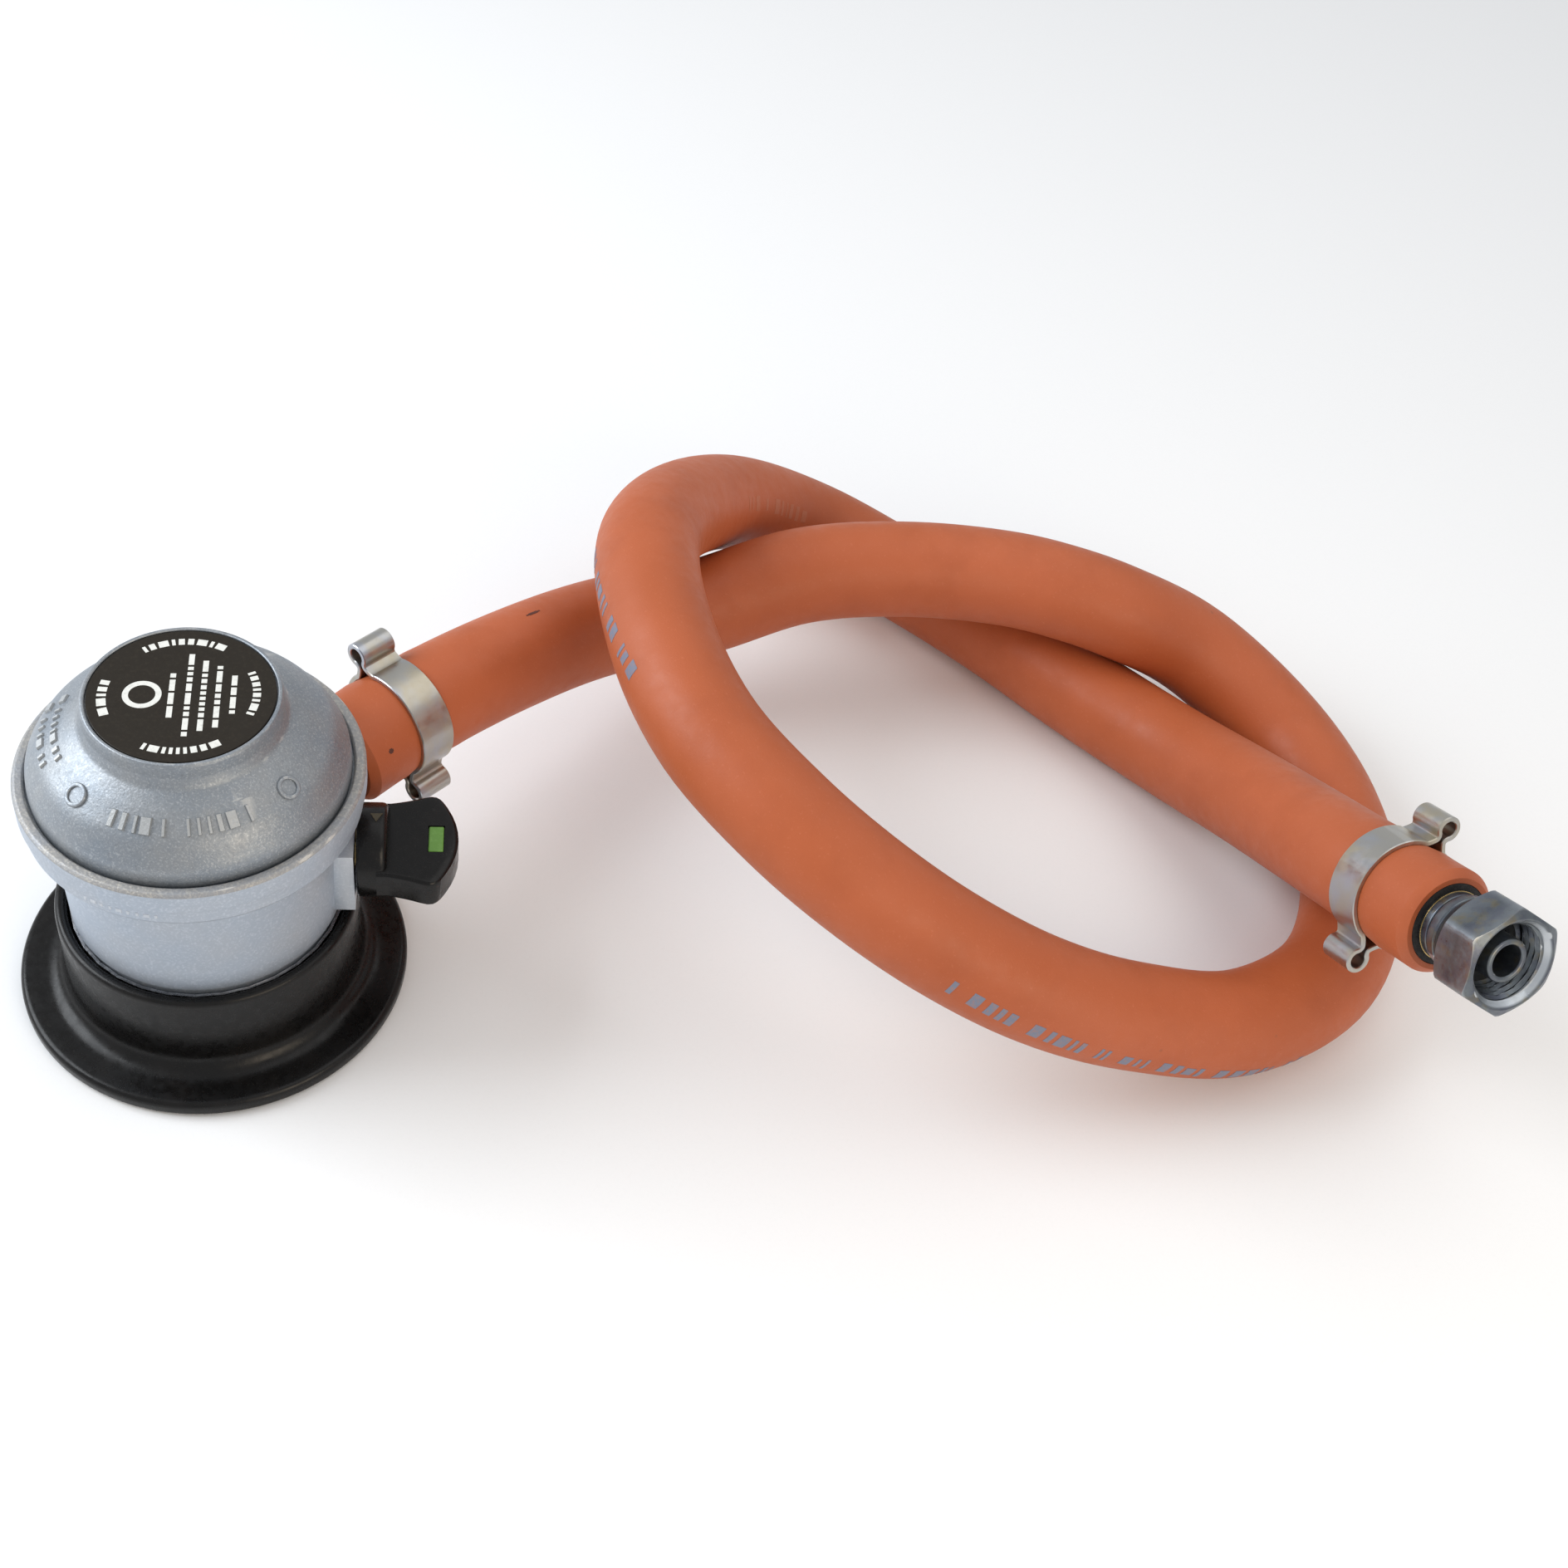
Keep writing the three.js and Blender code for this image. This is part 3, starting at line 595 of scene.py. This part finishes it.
def make_hose_print(name, start, end, first, last, ink, seed):
    """A row of plain bars along the hose between two distances, turning from one facing to another."""
    rng = random.Random(seed)
    shapes = []
    distance = start
    while distance < end:
        long = rng.choice((0.6, 0.9, 1.3, 1.9))
        facing = Vector(first).lerp(Vector(last), (distance - start) / (end - start))
        shapes.append(printed(distance, distance + long, facing, rng.choice((1.2, 1.5, 1.5))))
        distance += long + rng.choice((0.8, 1.2, 3.0))
    return piece(name, gathered(shapes), ink, "regulator")


def make_hose_specks():
    """Three dark specks near the regulator, each made of a long narrow patch on a short wide one."""
    shapes = []
    for start, long, facing, wide in ((4.4, 1.0, (0.88, 0, 0.47), 0.45), (7.5, 0.6, (0.91, 0, 0.41), 0.3),
                                      (43.0, 3.2, (0, 0.19, 0.98), 0.28)):
        shapes += [printed(start, start + long, Vector(facing), wide * 0.55),
                   printed(start + long * 0.2, start + long * 0.8, Vector(facing), wide)]
    return piece("hose_specks", gathered(shapes), SPECK, "regulator")


hose = make_hose()
liner = make_liner()
prints = [
    make_hose_print("hose_print_right", 296, 366, (0.87, -0.35, -0.34), (0.53, -0.84, 0.13), INK, 8),
    make_hose_print("hose_print_left", 434, 466, (-0.42, -0.81, 0.41), (-0.74, -0.68, 0.05), INK, 9),
    make_hose_print("hose_print_top", 508, 532, (0.88, 0.31, 0.36), (0.92, 0.02, 0.39), FADED_INK, 10),
    make_hose_specks(),
]


# ---------------------------------------------------------------- hose clamps
BAND_MID_R = 9.75              # to the middle of the band's thickness
BAND_THICK = 0.95
BAND_EDGE = 0.16               # the bevel on the band's edges
EAR_CENTRE = 13.5
EAR_R = 1.85


def clamp_outline():
    """The outer and the inner face of the band in section: a ring with a keyhole ear on each side."""
    def arc(centre, radius, angles):
        return [Vector((centre + radius * math.cos(a), radius * math.sin(a), 0))
                for a in (math.radians(angle) for angle in angles)]

    quarter = arc(EAR_CENTRE, EAR_R, range(0, 150, 18))
    quarter += [Vector((11.4, 0.82, 0)), Vector((10.75, 1.02, 0))]
    quarter += arc(0, BAND_MID_R, (13, 18, 26, 36, 48, 60, 72, 84, 90))
    upper = quarter + [Vector((-p.x, p.y, 0)) for p in quarter[-2::-1]]
    loop = upper + [Vector((p.x, -p.y, 0)) for p in upper[-2:0:-1]]
    count = len(loop)
    line = []                  # a Catmull-Rom curve through the loop
    for i in range(count):
        a, b, c, d = (loop[(i + k) % count] for k in (-1, 0, 1, 2))
        line += [0.5 * (2 * b + (c - a) * u + (2 * a - 5 * b + 4 * c - d) * u**2
                        + (3 * b - a - 3 * c + d) * u**3) for u in (0, 0.25, 0.5, 0.75)]
    faces = []
    for offset in (BAND_THICK / 2, -BAND_THICK / 2):
        face = []
        for i, p in enumerate(line):
            along = (line[(i + 1) % len(line)] - line[i - 1]).normalized()
            face.append((p.x + along.y * offset, p.y - along.x * offset))
        faces.append(face)
    return faces


def make_clamp(name, node, place):
    outer, inner = clamp_outline()
    count = len(outer)
    half = BAND_WIDTH / 2
    share = BAND_EDGE / BAND_THICK

    def pulled(face, other, share, x):
        """One face at x along the hose, brought nearer to the other by a share of the thickness."""
        return [(x, a * (1 - share) + c * share, b * (1 - share) + d * share)
                for (a, b), (c, d) in zip(face, other)]

    sections = [pulled(outer, inner, 0, half - BAND_EDGE), pulled(outer, inner, share, half),
                pulled(inner, outer, share, half), pulled(inner, outer, 0, half - BAND_EDGE),
                pulled(inner, outer, 0, BAND_EDGE - half), pulled(inner, outer, share, -half),
                pulled(outer, inner, share, -half), pulled(outer, inner, 0, BAND_EDGE - half)]
    points = [p for section in sections for p in section]
    rings = [list(range(k * count, (k + 1) * count)) for k in range(len(sections))]
    return piece(name, (points, skin(rings, True)), ZINC, "regulator", node, place, crease=33)


NEAR_EARS = (0.56, 0, -0.83)
FAR_EARS = (0, 0.7, 0.71)
near_clamp = make_clamp("near_hose_clamp", "near_clamp", REGULATOR @ route.place(NEAR_CLAMP_AT, NEAR_EARS))
far_clamp = make_clamp("far_hose_clamp", "far_clamp", REGULATOR @ route.place(FAR_CLAMP_AT, FAR_EARS))


# ---------------------------------------------------------------- hose tail and swivel nut
FAR_END = REGULATOR @ route.place(route.length, FAR_EARS)
NUT_FLATS = 17
NUT_FROM, NUT_MOUTH = 6.8, 15.6
NUT_FACE_R, NUT_BACK_R = 8.05, 8.1         # the round faces inside the turned chamfers
THREAD_R = 7
THREAD_PITCH = 1.25
THREAD_DEPTH = 0.55
THREAD_FROM, THREAD_TO = NUT_MOUTH - 0.95, 9.2


def make_tail():
    barbs = []
    for k in range(4):
        barbs += [[5.75, -19.6 + 4.6 * k], [5.1, -15.4 + 4.6 * k]]
    profile = rounded([
        [2.8, -24], [4.4, -24], [5.75, -20], *barbs, [5.7, -1.2], [6.15, 0.1, 0.3], [6.15, 1.9, 0.25],
        [3.9, 1.9], [3.9, 7.6], [5.9, 8.6, 0.2], [5.9, 9.2, 0.2], [3.9, 9.8, 0.4], [3.9, 14.3, 0.45],
        [2.8, 14.3, 0.45],
    ])
    return piece("hose_tail_turned", lathe(profile, 72), DARK_ZINC, "regulator", "hose_tail",
                 FAR_END @ ALONG_X)


def make_tail_ring():
    """The thin yellow band at the foot of the hose tail's shoulder."""
    profile = rounded([[6.0, 0.3], [6.27, 0.34, 0.05], [6.27, 0.6, 0.05], [6.0, 0.64]])
    return piece("hose_tail_ring", lathe(profile, 72), BRASS, "regulator", None, FAR_END @ ALONG_X)


def nut_shape():
    """A hexagon with turned chamfers, a collar behind it and a thread in its bore."""
    sides = 144
    angles = [2 * math.pi * k / sides for k in range(sides)]
    slope = math.tan(math.radians(30))

    def ring(radius, along):
        """A row of points. Its radius and its place along the axis are numbers or functions of the angle."""
        row = []
        for a in angles:
            r, z = (value(a) if callable(value) else value for value in (radius, along))
            row.append((r * math.cos(a), r * math.sin(a), z))
        return row

    def hexagon(angle):
        """The radius of the six flats, a little less at the rubbed corners."""
        within = (angle % (math.pi / 3)) - math.pi / 6
        sharp = NUT_FLATS / 2 / math.cos(within)
        return sharp - 0.22 * max(0, 1 - (math.pi / 6 - abs(within)) / 0.035)

    rows = [ring(6.1, 2.2), ring(6.4, 2.35), ring(6.5, 2.7), ring(6.5, 3.9), ring(6.36, 4.05),
            ring(6.36, 4.25), ring(6.55, 4.4), ring(6.9, 4.9), ring(7.7, 6.1), ring(NUT_BACK_R, NUT_FROM)]
    for share in (0.33, 0.66, 1):
        rows.append(ring(lambda a: NUT_BACK_R + (hexagon(a) - NUT_BACK_R) * share,
                         lambda a: NUT_FROM + (hexagon(a) - NUT_BACK_R) * share * 0.75))
    rows.append(ring(hexagon, (NUT_FROM + NUT_MOUTH) / 2))
    for share in (1, 0.66, 0.33, 0):
        rows.append(ring(lambda a: NUT_FACE_R + (hexagon(a) - NUT_FACE_R) * share,
                         lambda a: NUT_MOUTH - (hexagon(a) - NUT_FACE_R) * share * slope))
    rows += [ring(8.0, NUT_MOUTH), ring(THREAD_R + 0.75, NUT_MOUTH - 0.05),
             ring(THREAD_R + 0.45, NUT_MOUTH - 0.4), ring(THREAD_R, THREAD_FROM)]
    steps = 52
    for k in range(steps + 1):
        here = THREAD_FROM - (THREAD_FROM - THREAD_TO) * k / steps
        depth = THREAD_DEPTH * min(1, k / 4, (steps - k) / 4)

        def threaded(a):
            phase = (here / THREAD_PITCH + a / (2 * math.pi)) % 1
            return THREAD_R - depth * (1 - abs(2 * phase - 1))

        rows.append(ring(threaded, here))
    rows += [ring(THREAD_R, 8.9), ring(THREAD_R - 0.6, 8.2), ring(4.25, 7.3), ring(4.25, 2.4)]
    points = [p for row in rows for p in row]
    return points, skin([list(range(k * sides, (k + 1) * sides)) for k in range(len(rows))], True)


def make_nut():
    return piece("hexagon_nut", nut_shape(), DARK_ZINC, "swivel_nut", "swivel_nut",
                 FAR_END @ ALONG_X, crease=28)


tail = make_tail()
tail_ring = make_tail_ring()
nut = make_nut()


# ---------------------------------------------------------------- regulator: cover and label
COVER_TOP = 66.3


def make_cover():
    profile = rounded([
        [9, 59.4], [9, COVER_TOP - 0.8], [14.3, COVER_TOP - 0.8], [14.3, COVER_TOP - 0.15, 0.12],
        [14.45, COVER_TOP, 0.1], [14.85, COVER_TOP, 0.3], [15.1, COVER_TOP - 0.5, 0.3], [15.2, 63.6, 2.0],
        [15.8, 62.1, 2.0], [18.6, 60.2, 8], [22.4, 57.2, 8], [24.7, 53.2, 4], [24.85, 51.2, 2], [24.85, 49.4],
        [25.7, 49.4], [25.7, 47.6], [20.9, 47.6], [20.8, 50.5], [19.3, 55], [15, 58], [12, 59.4],
    ], steps=8)
    piece("cover_casting", lathe(profile, 192), COVER, "regulator", "top_cover")


make_cover()

SLOPE_IN, SLOPE_OUT = Vector((18.6, 60.2)), Vector((22.4, 57.2))     # the straight of the cover's cone


def on_cone(angle, down):
    """A place on the cover's cone: +X around it, +Y up the slope, +Z out of it."""
    point = SLOPE_IN.lerp(SLOPE_OUT, down)
    fall = (SLOPE_OUT - SLOPE_IN).angle(Vector((1, 0)))
    tilt = Matrix.Rotation(fall, 4, "Y") @ Matrix.Rotation(math.radians(90), 4, "Z")
    return outwards(angle, 0) @ Matrix.Translation((point.x, 0, point.y)) @ tilt


def raised(length, width, height, low):
    """A bar with sloping sides, standing out of a cast face."""
    foot, top = (length / 2, width / 2), (length / 2 - 0.12, width / 2 - 0.12)
    corners = ((1, 1), (-1, 1), (-1, -1), (1, -1))
    levels = ((foot, low), (foot, 0), (top, height))
    points = [(sx * x, sy * y, z) for (x, y), z in levels for sx, sy in corners]
    rings = [[0, 1, 2, 3], [4, 5, 6, 7], [8, 9, 10, 11]]
    return points, [*skin(rings, False), [3, 2, 1, 0], [8, 9, 10, 11]]


def moved(shape, place):
    """The same shape in another place."""
    points, faces = shape
    return [tuple(place @ Vector(p)) for p in points], faces


def make_cover_marks():
    """Rows of plain raised bars cast into the cover, and two round bosses."""
    rng = random.Random(5)
    shapes = []
    rows = ((-70, -44, 0.5, 2.8), (-38, -11, 0.5, 2.8), (-149, -111, 0.2, 1.3), (-147, -114, 0.78, 1.3))
    for start, end, down, tall in rows:
        angle = start
        while angle < end:
            wide = rng.choice((0.6, 0.6, 0.9, 1.7))
            shapes.append(moved(raised(wide, tall, 0.4, -0.5), on_cone(angle, down)))
            angle += math.degrees((wide + 0.9) / 20)
    ring = rounded([[0, -0.5], [1.9, -0.5], [1.9, 0.45, 0.25], [1.25, 0.45, 0.15], [1.25, 0.1], [0, 0.1]],
                   closed=False)
    for angle in (-90, 8.5):
        shapes.append(moved(lathe(ring, 40), on_cone(angle, 0.45)))
    piece("cover_marks", gathered(shapes), COVER, "regulator", None, Matrix.Identity(4))


make_cover_marks()

LABEL_TOP = COVER_TOP - 0.12
LABEL_R = 14.1
LABEL_TURN = 137               # the way the printed lines run
INK_LOW, INK_HIGH = LABEL_TOP - 0.02, LABEL_TOP + 0.03


def make_label():
    profile = [(0, COVER_TOP - 0.5), (LABEL_R, COVER_TOP - 0.5), (LABEL_R, LABEL_TOP - 0.08),
               (LABEL_R - 0.1, LABEL_TOP), (0, LABEL_TOP)]
    piece("label_plate", lathe(profile, 144), LABEL, "regulator", "label_disc")


def dash(x, y, length, width, angle=0.0):
    """A flat printed bar on the label."""
    place = Matrix.Translation((x, y, 0)) @ Matrix.Rotation(angle, 4, "Z")
    return moved(block((-length / 2, length / 2), (-width / 2, width / 2), (INK_LOW, INK_HIGH)), place)


def make_label_print():
    """Rows and arcs of plain bars, and a plain ring."""
    rng = random.Random(11)
    shapes = []
    for across, half in ((-1.6, 4.9), (0.9, 8.8), (3.1, 7.7), (5.3, 7.0), (7.6, 4.1)):
        start = -half
        while start < half - 0.6:
            length = min(rng.choice((0.7, 0.9, 1.6, 2.4)), half - start)
            shapes.append(dash(start + length / 2, -across, length, 0.85))
            start += length + 0.45
    arcs = ((0, 31, 11.6, 1.3), (-90, 24, 11.1, 1.2), (180, 26, 11.8, 1.3), (90, 16, 11.8, 1.4))
    for centre, half, radius, width in arcs:
        angle = centre - half
        while angle < centre + half:
            step = rng.choice((5, 7, 10))
            middle = math.radians(angle + step / 2)
            shapes.append(dash(radius * math.cos(middle), radius * math.sin(middle),
                               radius * math.radians(step - 2.4), width, middle + math.pi / 2))
            angle += step
    ring = lathe([(2.0, INK_LOW), (2.9, INK_LOW), (2.9, INK_HIGH), (2.0, INK_HIGH)], 48)
    shapes.append(moved(ring, Matrix.Translation((0, 5.9, 0))))
    piece("label_print", gathered(shapes), PRINT, "regulator", None,
          REGULATOR @ Matrix.Rotation(math.radians(LABEL_TURN), 4, "Z"))


make_label()
make_label_print()


# ---------------------------------------------------------------- regulator: lower body
BALLS = 8
RIM_FROM, RIM_R = 46.35, 24.9              # the rolled rim is above this height and outside this radius


def ball_place(k):
    """The axis of one locking ball's hole in the skirt, as +X."""
    return outwards(360 / BALLS * (k + 0.5), 5)


def cylinder(radius, low, high, sides):
    return lathe([(0, low), (radius, low), (radius, high), (0, high)], sides)


def make_body():
    shell = rounded([
        [0, 13], [6, 13, 0.3], [6, 19.5, 0.5], [17.7, 19.5, 0.5], [17.7, 0, 0.4], [21.5, 0, 0.4],
        [21.5, 20.2, 0.3], [22.3, 21, 0.3], [22.8, 41.4, 0.6], [23.6, 42.2, 0.5], [26.3, 43.3, 0.5],
        [26.55, 43.8, 0.3], [26.6, 46.3, 0.2], [27.1, 46.8, 0.25], [27.1, 50.2, 0.5], [26.6, 50.7, 0.5],
        [25.5, 50.7, 0.3], [25.15, 50.3, 0.3], [25.15, 49.7], [26, 49.7], [26, 46.4], [20.5, 46.4],
        [20.5, 35], [0, 35],
    ], closed=False, steps=5)
    body = piece("body_casting", lathe(shell, 192), BODY, "regulator", "lower_body")
    body.data.materials.append(RIM)
    boss = lathe(rounded([[0, 17], [8.6, 17], [8.6, 27.7, 0.5], [0, 27.7]], closed=False), 96)
    knob_pad = block((17, 24.8), (-6.5, 6.5), (-8.1, 5.4))
    tab_below_pad = block((17, 23.9), (-1.1, 1.1), (-9.3, -7.5))
    carve(body, [(boss, OUTLET @ ALONG_X), (knob_pad, KNOB), (tab_below_pad, KNOB)], "UNION")
    lever_posts = [block((-11.1, -7.9), y, (34, 43.6)) for y in ((3.2, 5), (-5, -3.2))]
    carve(body, [(post, REGULATOR) for post in lever_posts], "UNION")
    plunger_bore = cylinder(3.2, 14.3, 30.5, 48)
    pin_hole = cylinder(2, 12, 15, 32)
    cam_bore = cylinder(3.9, -5, 25.8, 48)
    jet_bore = cylinder(3, 31, 36, 32)
    outlet_up = cylinder(3.5, 28, 36, 32)
    nozzle_bore = lathe([(0, 12), (3.5, 12), (3.5, 16.5), (6.3, 16.5), (6.3, 28), (0, 28)], 64)
    ball_hole = cylinder(2.9, 16, 23, 32)
    carve(body, [
        (plunger_bore, REGULATOR), (pin_hole, REGULATOR), (cam_bore, KNOB @ ALONG_X),
        (jet_bore, REGULATOR @ Matrix.Translation((-12, 0, 0))),
        (outlet_up, REGULATOR @ Matrix.Translation((0, 14, 0))),
        (nozzle_bore, OUTLET @ ALONG_X),
        *((ball_hole, ball_place(k) @ ALONG_X) for k in range(BALLS)),
    ])
    for polygon in body.data.polygons:
        centre = polygon.center / MM - AXIS
        on_rim = centre.z > RIM_FROM and math.hypot(centre.x, centre.y) > RIM_R
        polygon.material_index = int(on_rim and polygon.normal.z > 0.3)


def make_band_marks():
    """A short row of small raised bars on the band below the rim."""
    upright = Matrix.Translation((26.5, 0, 0)) @ ALONG_X @ Matrix.Rotation(math.radians(90), 4, "Z")
    shapes = [moved(raised(0.6 + 0.5 * (k % 3 == 1), 0.9, 0.14, -0.3), outwards(-76 + 3.1 * k, 45) @ upright)
              for k in range(9)]
    piece("band_marks", gathered(shapes), BODY, "regulator", None, Matrix.Identity(4))


make_body()
make_band_marks()


def make_nozzle():
    barbs = []
    for k in range(4):
        barbs += [[5.7, 31.4 + 4.4 * k], [5.0, 35.4 + 4.4 * k]]
    profile = rounded([[3.4, 17], [6, 17], [6, 28], [7.6, 28.1, 0.15], [7.6, 28.7, 0.15], [5.3, 28.8],
                       [5.0, 31], *barbs, [4.2, 51], [3.4, 51]])
    piece("outlet_spout", lathe(profile, 64), BRASS, "regulator", "outlet_nozzle", OUTLET @ ALONG_X)


make_nozzle()


# ---------------------------------------------------------------- lock ring
WALL_R, FLANGE_R = 24.9, 32.7
FLANGE_THICK = 3.0
FILLET_R = 3.6                 # where the wall meets the flange
BALL_R, BALL_AT = 2.6, 20.4


def make_lock_ring():
    fillet = [(WALL_R + FILLET_R * (1 - math.cos(a)), FLANGE_THICK + FILLET_R * (1 - math.sin(a)))
              for a in (math.radians(d) for d in range(0, 91, 9))]
    flange = rounded([[30, FLANGE_THICK], [FLANGE_R, FLANGE_THICK, 1.1], [FLANGE_R, 0, 1.0], [30, 0]],
                     closed=False, steps=6)
    profile = [(24.2, 0.0), (24.2, 8.1), (22.8, 9.5), (22.8, 19.4), (23.1, 20.0), (23.6, 20.35),
               (24.1, 20.4), (24.5, 20.25), (24.8, 19.9), (WALL_R, 19.4), *fillet, *flange, (26, 0)]
    piece("locking_ring", lathe(profile, 192), PLASTIC, "lock_ring_assembly", "lock_ring")


def make_balls():
    for k in range(BALLS):
        mesh = bmesh.new()
        bmesh.ops.create_icosphere(mesh, subdivisions=3, radius=BALL_R)
        points = [tuple(v.co + Vector((BALL_AT, 0, 0))) for v in mesh.verts]
        faces = [[v.index for v in f.verts] for f in mesh.faces]
        mesh.free()
        piece(f"steel_ball_{k + 1}", (points, faces), STEEL, f"ball_{k + 1}", f"lock_ball_{k + 1}",
              ball_place(k))


make_lock_ring()
make_balls()


# ---------------------------------------------------------------- knob
HUB_FROM, HUB_TO, HUB_R = 25.2, 30.2, 7.9
GRIP_FROM, GRIP_TIP = 28.5, 41.7
GRIP_THICK = 5.8
GRIP_CURVE = 0.037             # how fast the tip's end falls back beside its middle


def knob_hub():
    return lathe(rounded([[0, HUB_FROM], [HUB_R, HUB_FROM, 0.5], [HUB_R, HUB_TO, 1.2], [0, HUB_TO]],
                         closed=False), 96)


def knob_grip():
    """A fishtail: flat sections with round edges, wider towards a curved end."""
    rows = []
    for x, half, thick in ((GRIP_FROM, 8.1, 1), (30.6, 8.1, 1), (32, 8.3, 1), (34, 8.65, 1), (36, 9.05, 1),
                           (38, 9.5, 1), (39.8, 9.8, 1), (40.9, 9.75, 0.98), (41.4, 9.5, 0.93),
                           (GRIP_TIP, 9.2, 0.84)):
        high = GRIP_THICK / 2 * thick
        drop = GRIP_CURVE * (x - GRIP_FROM) / (GRIP_TIP - GRIP_FROM)
        below = [(half * k / 5, -high, 0.7 * (abs(k) == 5)) for k in range(-5, 6)]
        above = [(y, -z, radius) for y, z, radius in below[::-1]]
        rows.append([(x - drop * y**2, y, z) for y, z in rounded(below + above, steps=6)])
    count = len(rows[0])
    points = [p for row in rows for p in row]
    faces = skin([list(range(k * count, (k + 1) * count)) for k in range(len(rows))], False)
    for first in (0, len(points) - count):
        last = first + count - 1
        faces += [[first + k, first + k + 1, last - 1 - k, last - k] for k in range(count // 2 - 1)]
    return points, faces


def make_knob():
    knob = piece("turn_knob", knob_hub(), KNOB_PLASTIC, "knob_assembly", "knob",
                 KNOB @ ALONG_X)
    carve(knob, [(knob_grip(), KNOB)], "UNION")
    pockets = [block((36.6, 39.4), (-2.9, 2.9), sorted((s * 2.5, s * 5))) for s in (1, -1)]
    shaft = lathe([(0, 24), (3.9, 24), (3.9, 25.7), (3, 25.7), (3, 29.7), (0, 29.7)], 48)
    carve(knob, [(shaft, KNOB @ ALONG_X), *((pocket, KNOB) for pocket in pockets)])
    for name, node, finish, slot, side in (("open_inlay", "open_mark", GREEN, "green_mark", 1),
                                           ("closed_inlay", "closed_mark", RED, "red_mark", -1)):
        z = sorted((side * (GRIP_THICK / 2 - 0.6), side * (GRIP_THICK / 2 + 0.03)))
        mark = block((36.75, 39.25), (-2.75, 2.75), z)
        inlay = piece(name, mark, finish, "knob_assembly", node, KNOB)
        bevel(inlay, 0.25, 3)
    pointer = prism([(27.3, 1.0), (29.3, 1.0), (28.3, -0.8)], HUB_R - 0.5, HUB_R + 0.1)
    piece("knob_pointer", pointer, POINTER, "knob_assembly", None, KNOB)


make_knob()

for node, finish in CAD_FINISHES.items():
    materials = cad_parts[node].data.materials
    materials.clear()
    materials.append(finish)


# ---------------------------------------------------------------- studio
FLOOR_TOP = -0.1               # a little lower than what stands on it, so that no two faces coincide
FLOOR_REACH = 3000


def make_floor():
    sides = (-FLOOR_REACH, FLOOR_REACH)
    points, faces = block(sides, sides, (-10, FLOOR_TOP))
    white = plain("floor_white", (0.86, 0.86, 0.86), 0.7, (0.84, 0.84, 0.84))
    piece("floor", (points, faces), white, None)


def area_light(name, place, target, size, power, colour):
    """A soft light at a place, aimed at a target, both measured from the regulator's foot."""
    data = bpy.data.lights.new(name, "AREA")
    data.shape = "RECTANGLE"
    data.size, data.size_y = (s * MM for s in size)
    data.energy = power
    data.color = colour
    light = bpy.data.objects.new(name, data)
    bpy.context.scene.collection.objects.link(light)
    light.location = (AXIS + Vector(place)) * MM
    aim = (AXIS + Vector(target)) * MM - light.location
    light.rotation_euler = aim.to_track_quat("-Z", "Y").to_euler()


def make_studio():
    make_floor()
    world = bpy.data.worlds.new("studio")
    world.use_nodes = True
    background = world.node_tree.nodes["Background"]
    background.inputs["Color"].default_value = (0.95, 0.97, 1.0, 1)
    background.inputs["Strength"].default_value = 0.64
    bpy.context.scene.world = world
    area_light("window", (-420, -260, 420), (20, 30, 20), (420, 460), 4.0, (0.90, 0.95, 1.0))
    area_light("ceiling", (120, 320, 700), (80, 130, 0), (700, 600), 1.0, (1.0, 0.98, 0.95))
    area_light("warm_side", (520, -60, 260), (60, 60, 20), (300, 300), 0.9, (1.0, 0.84, 0.64))
    bpy.context.scene.view_settings.view_transform = "Standard"
    bpy.context.scene.view_settings.look = "None"


make_studio()
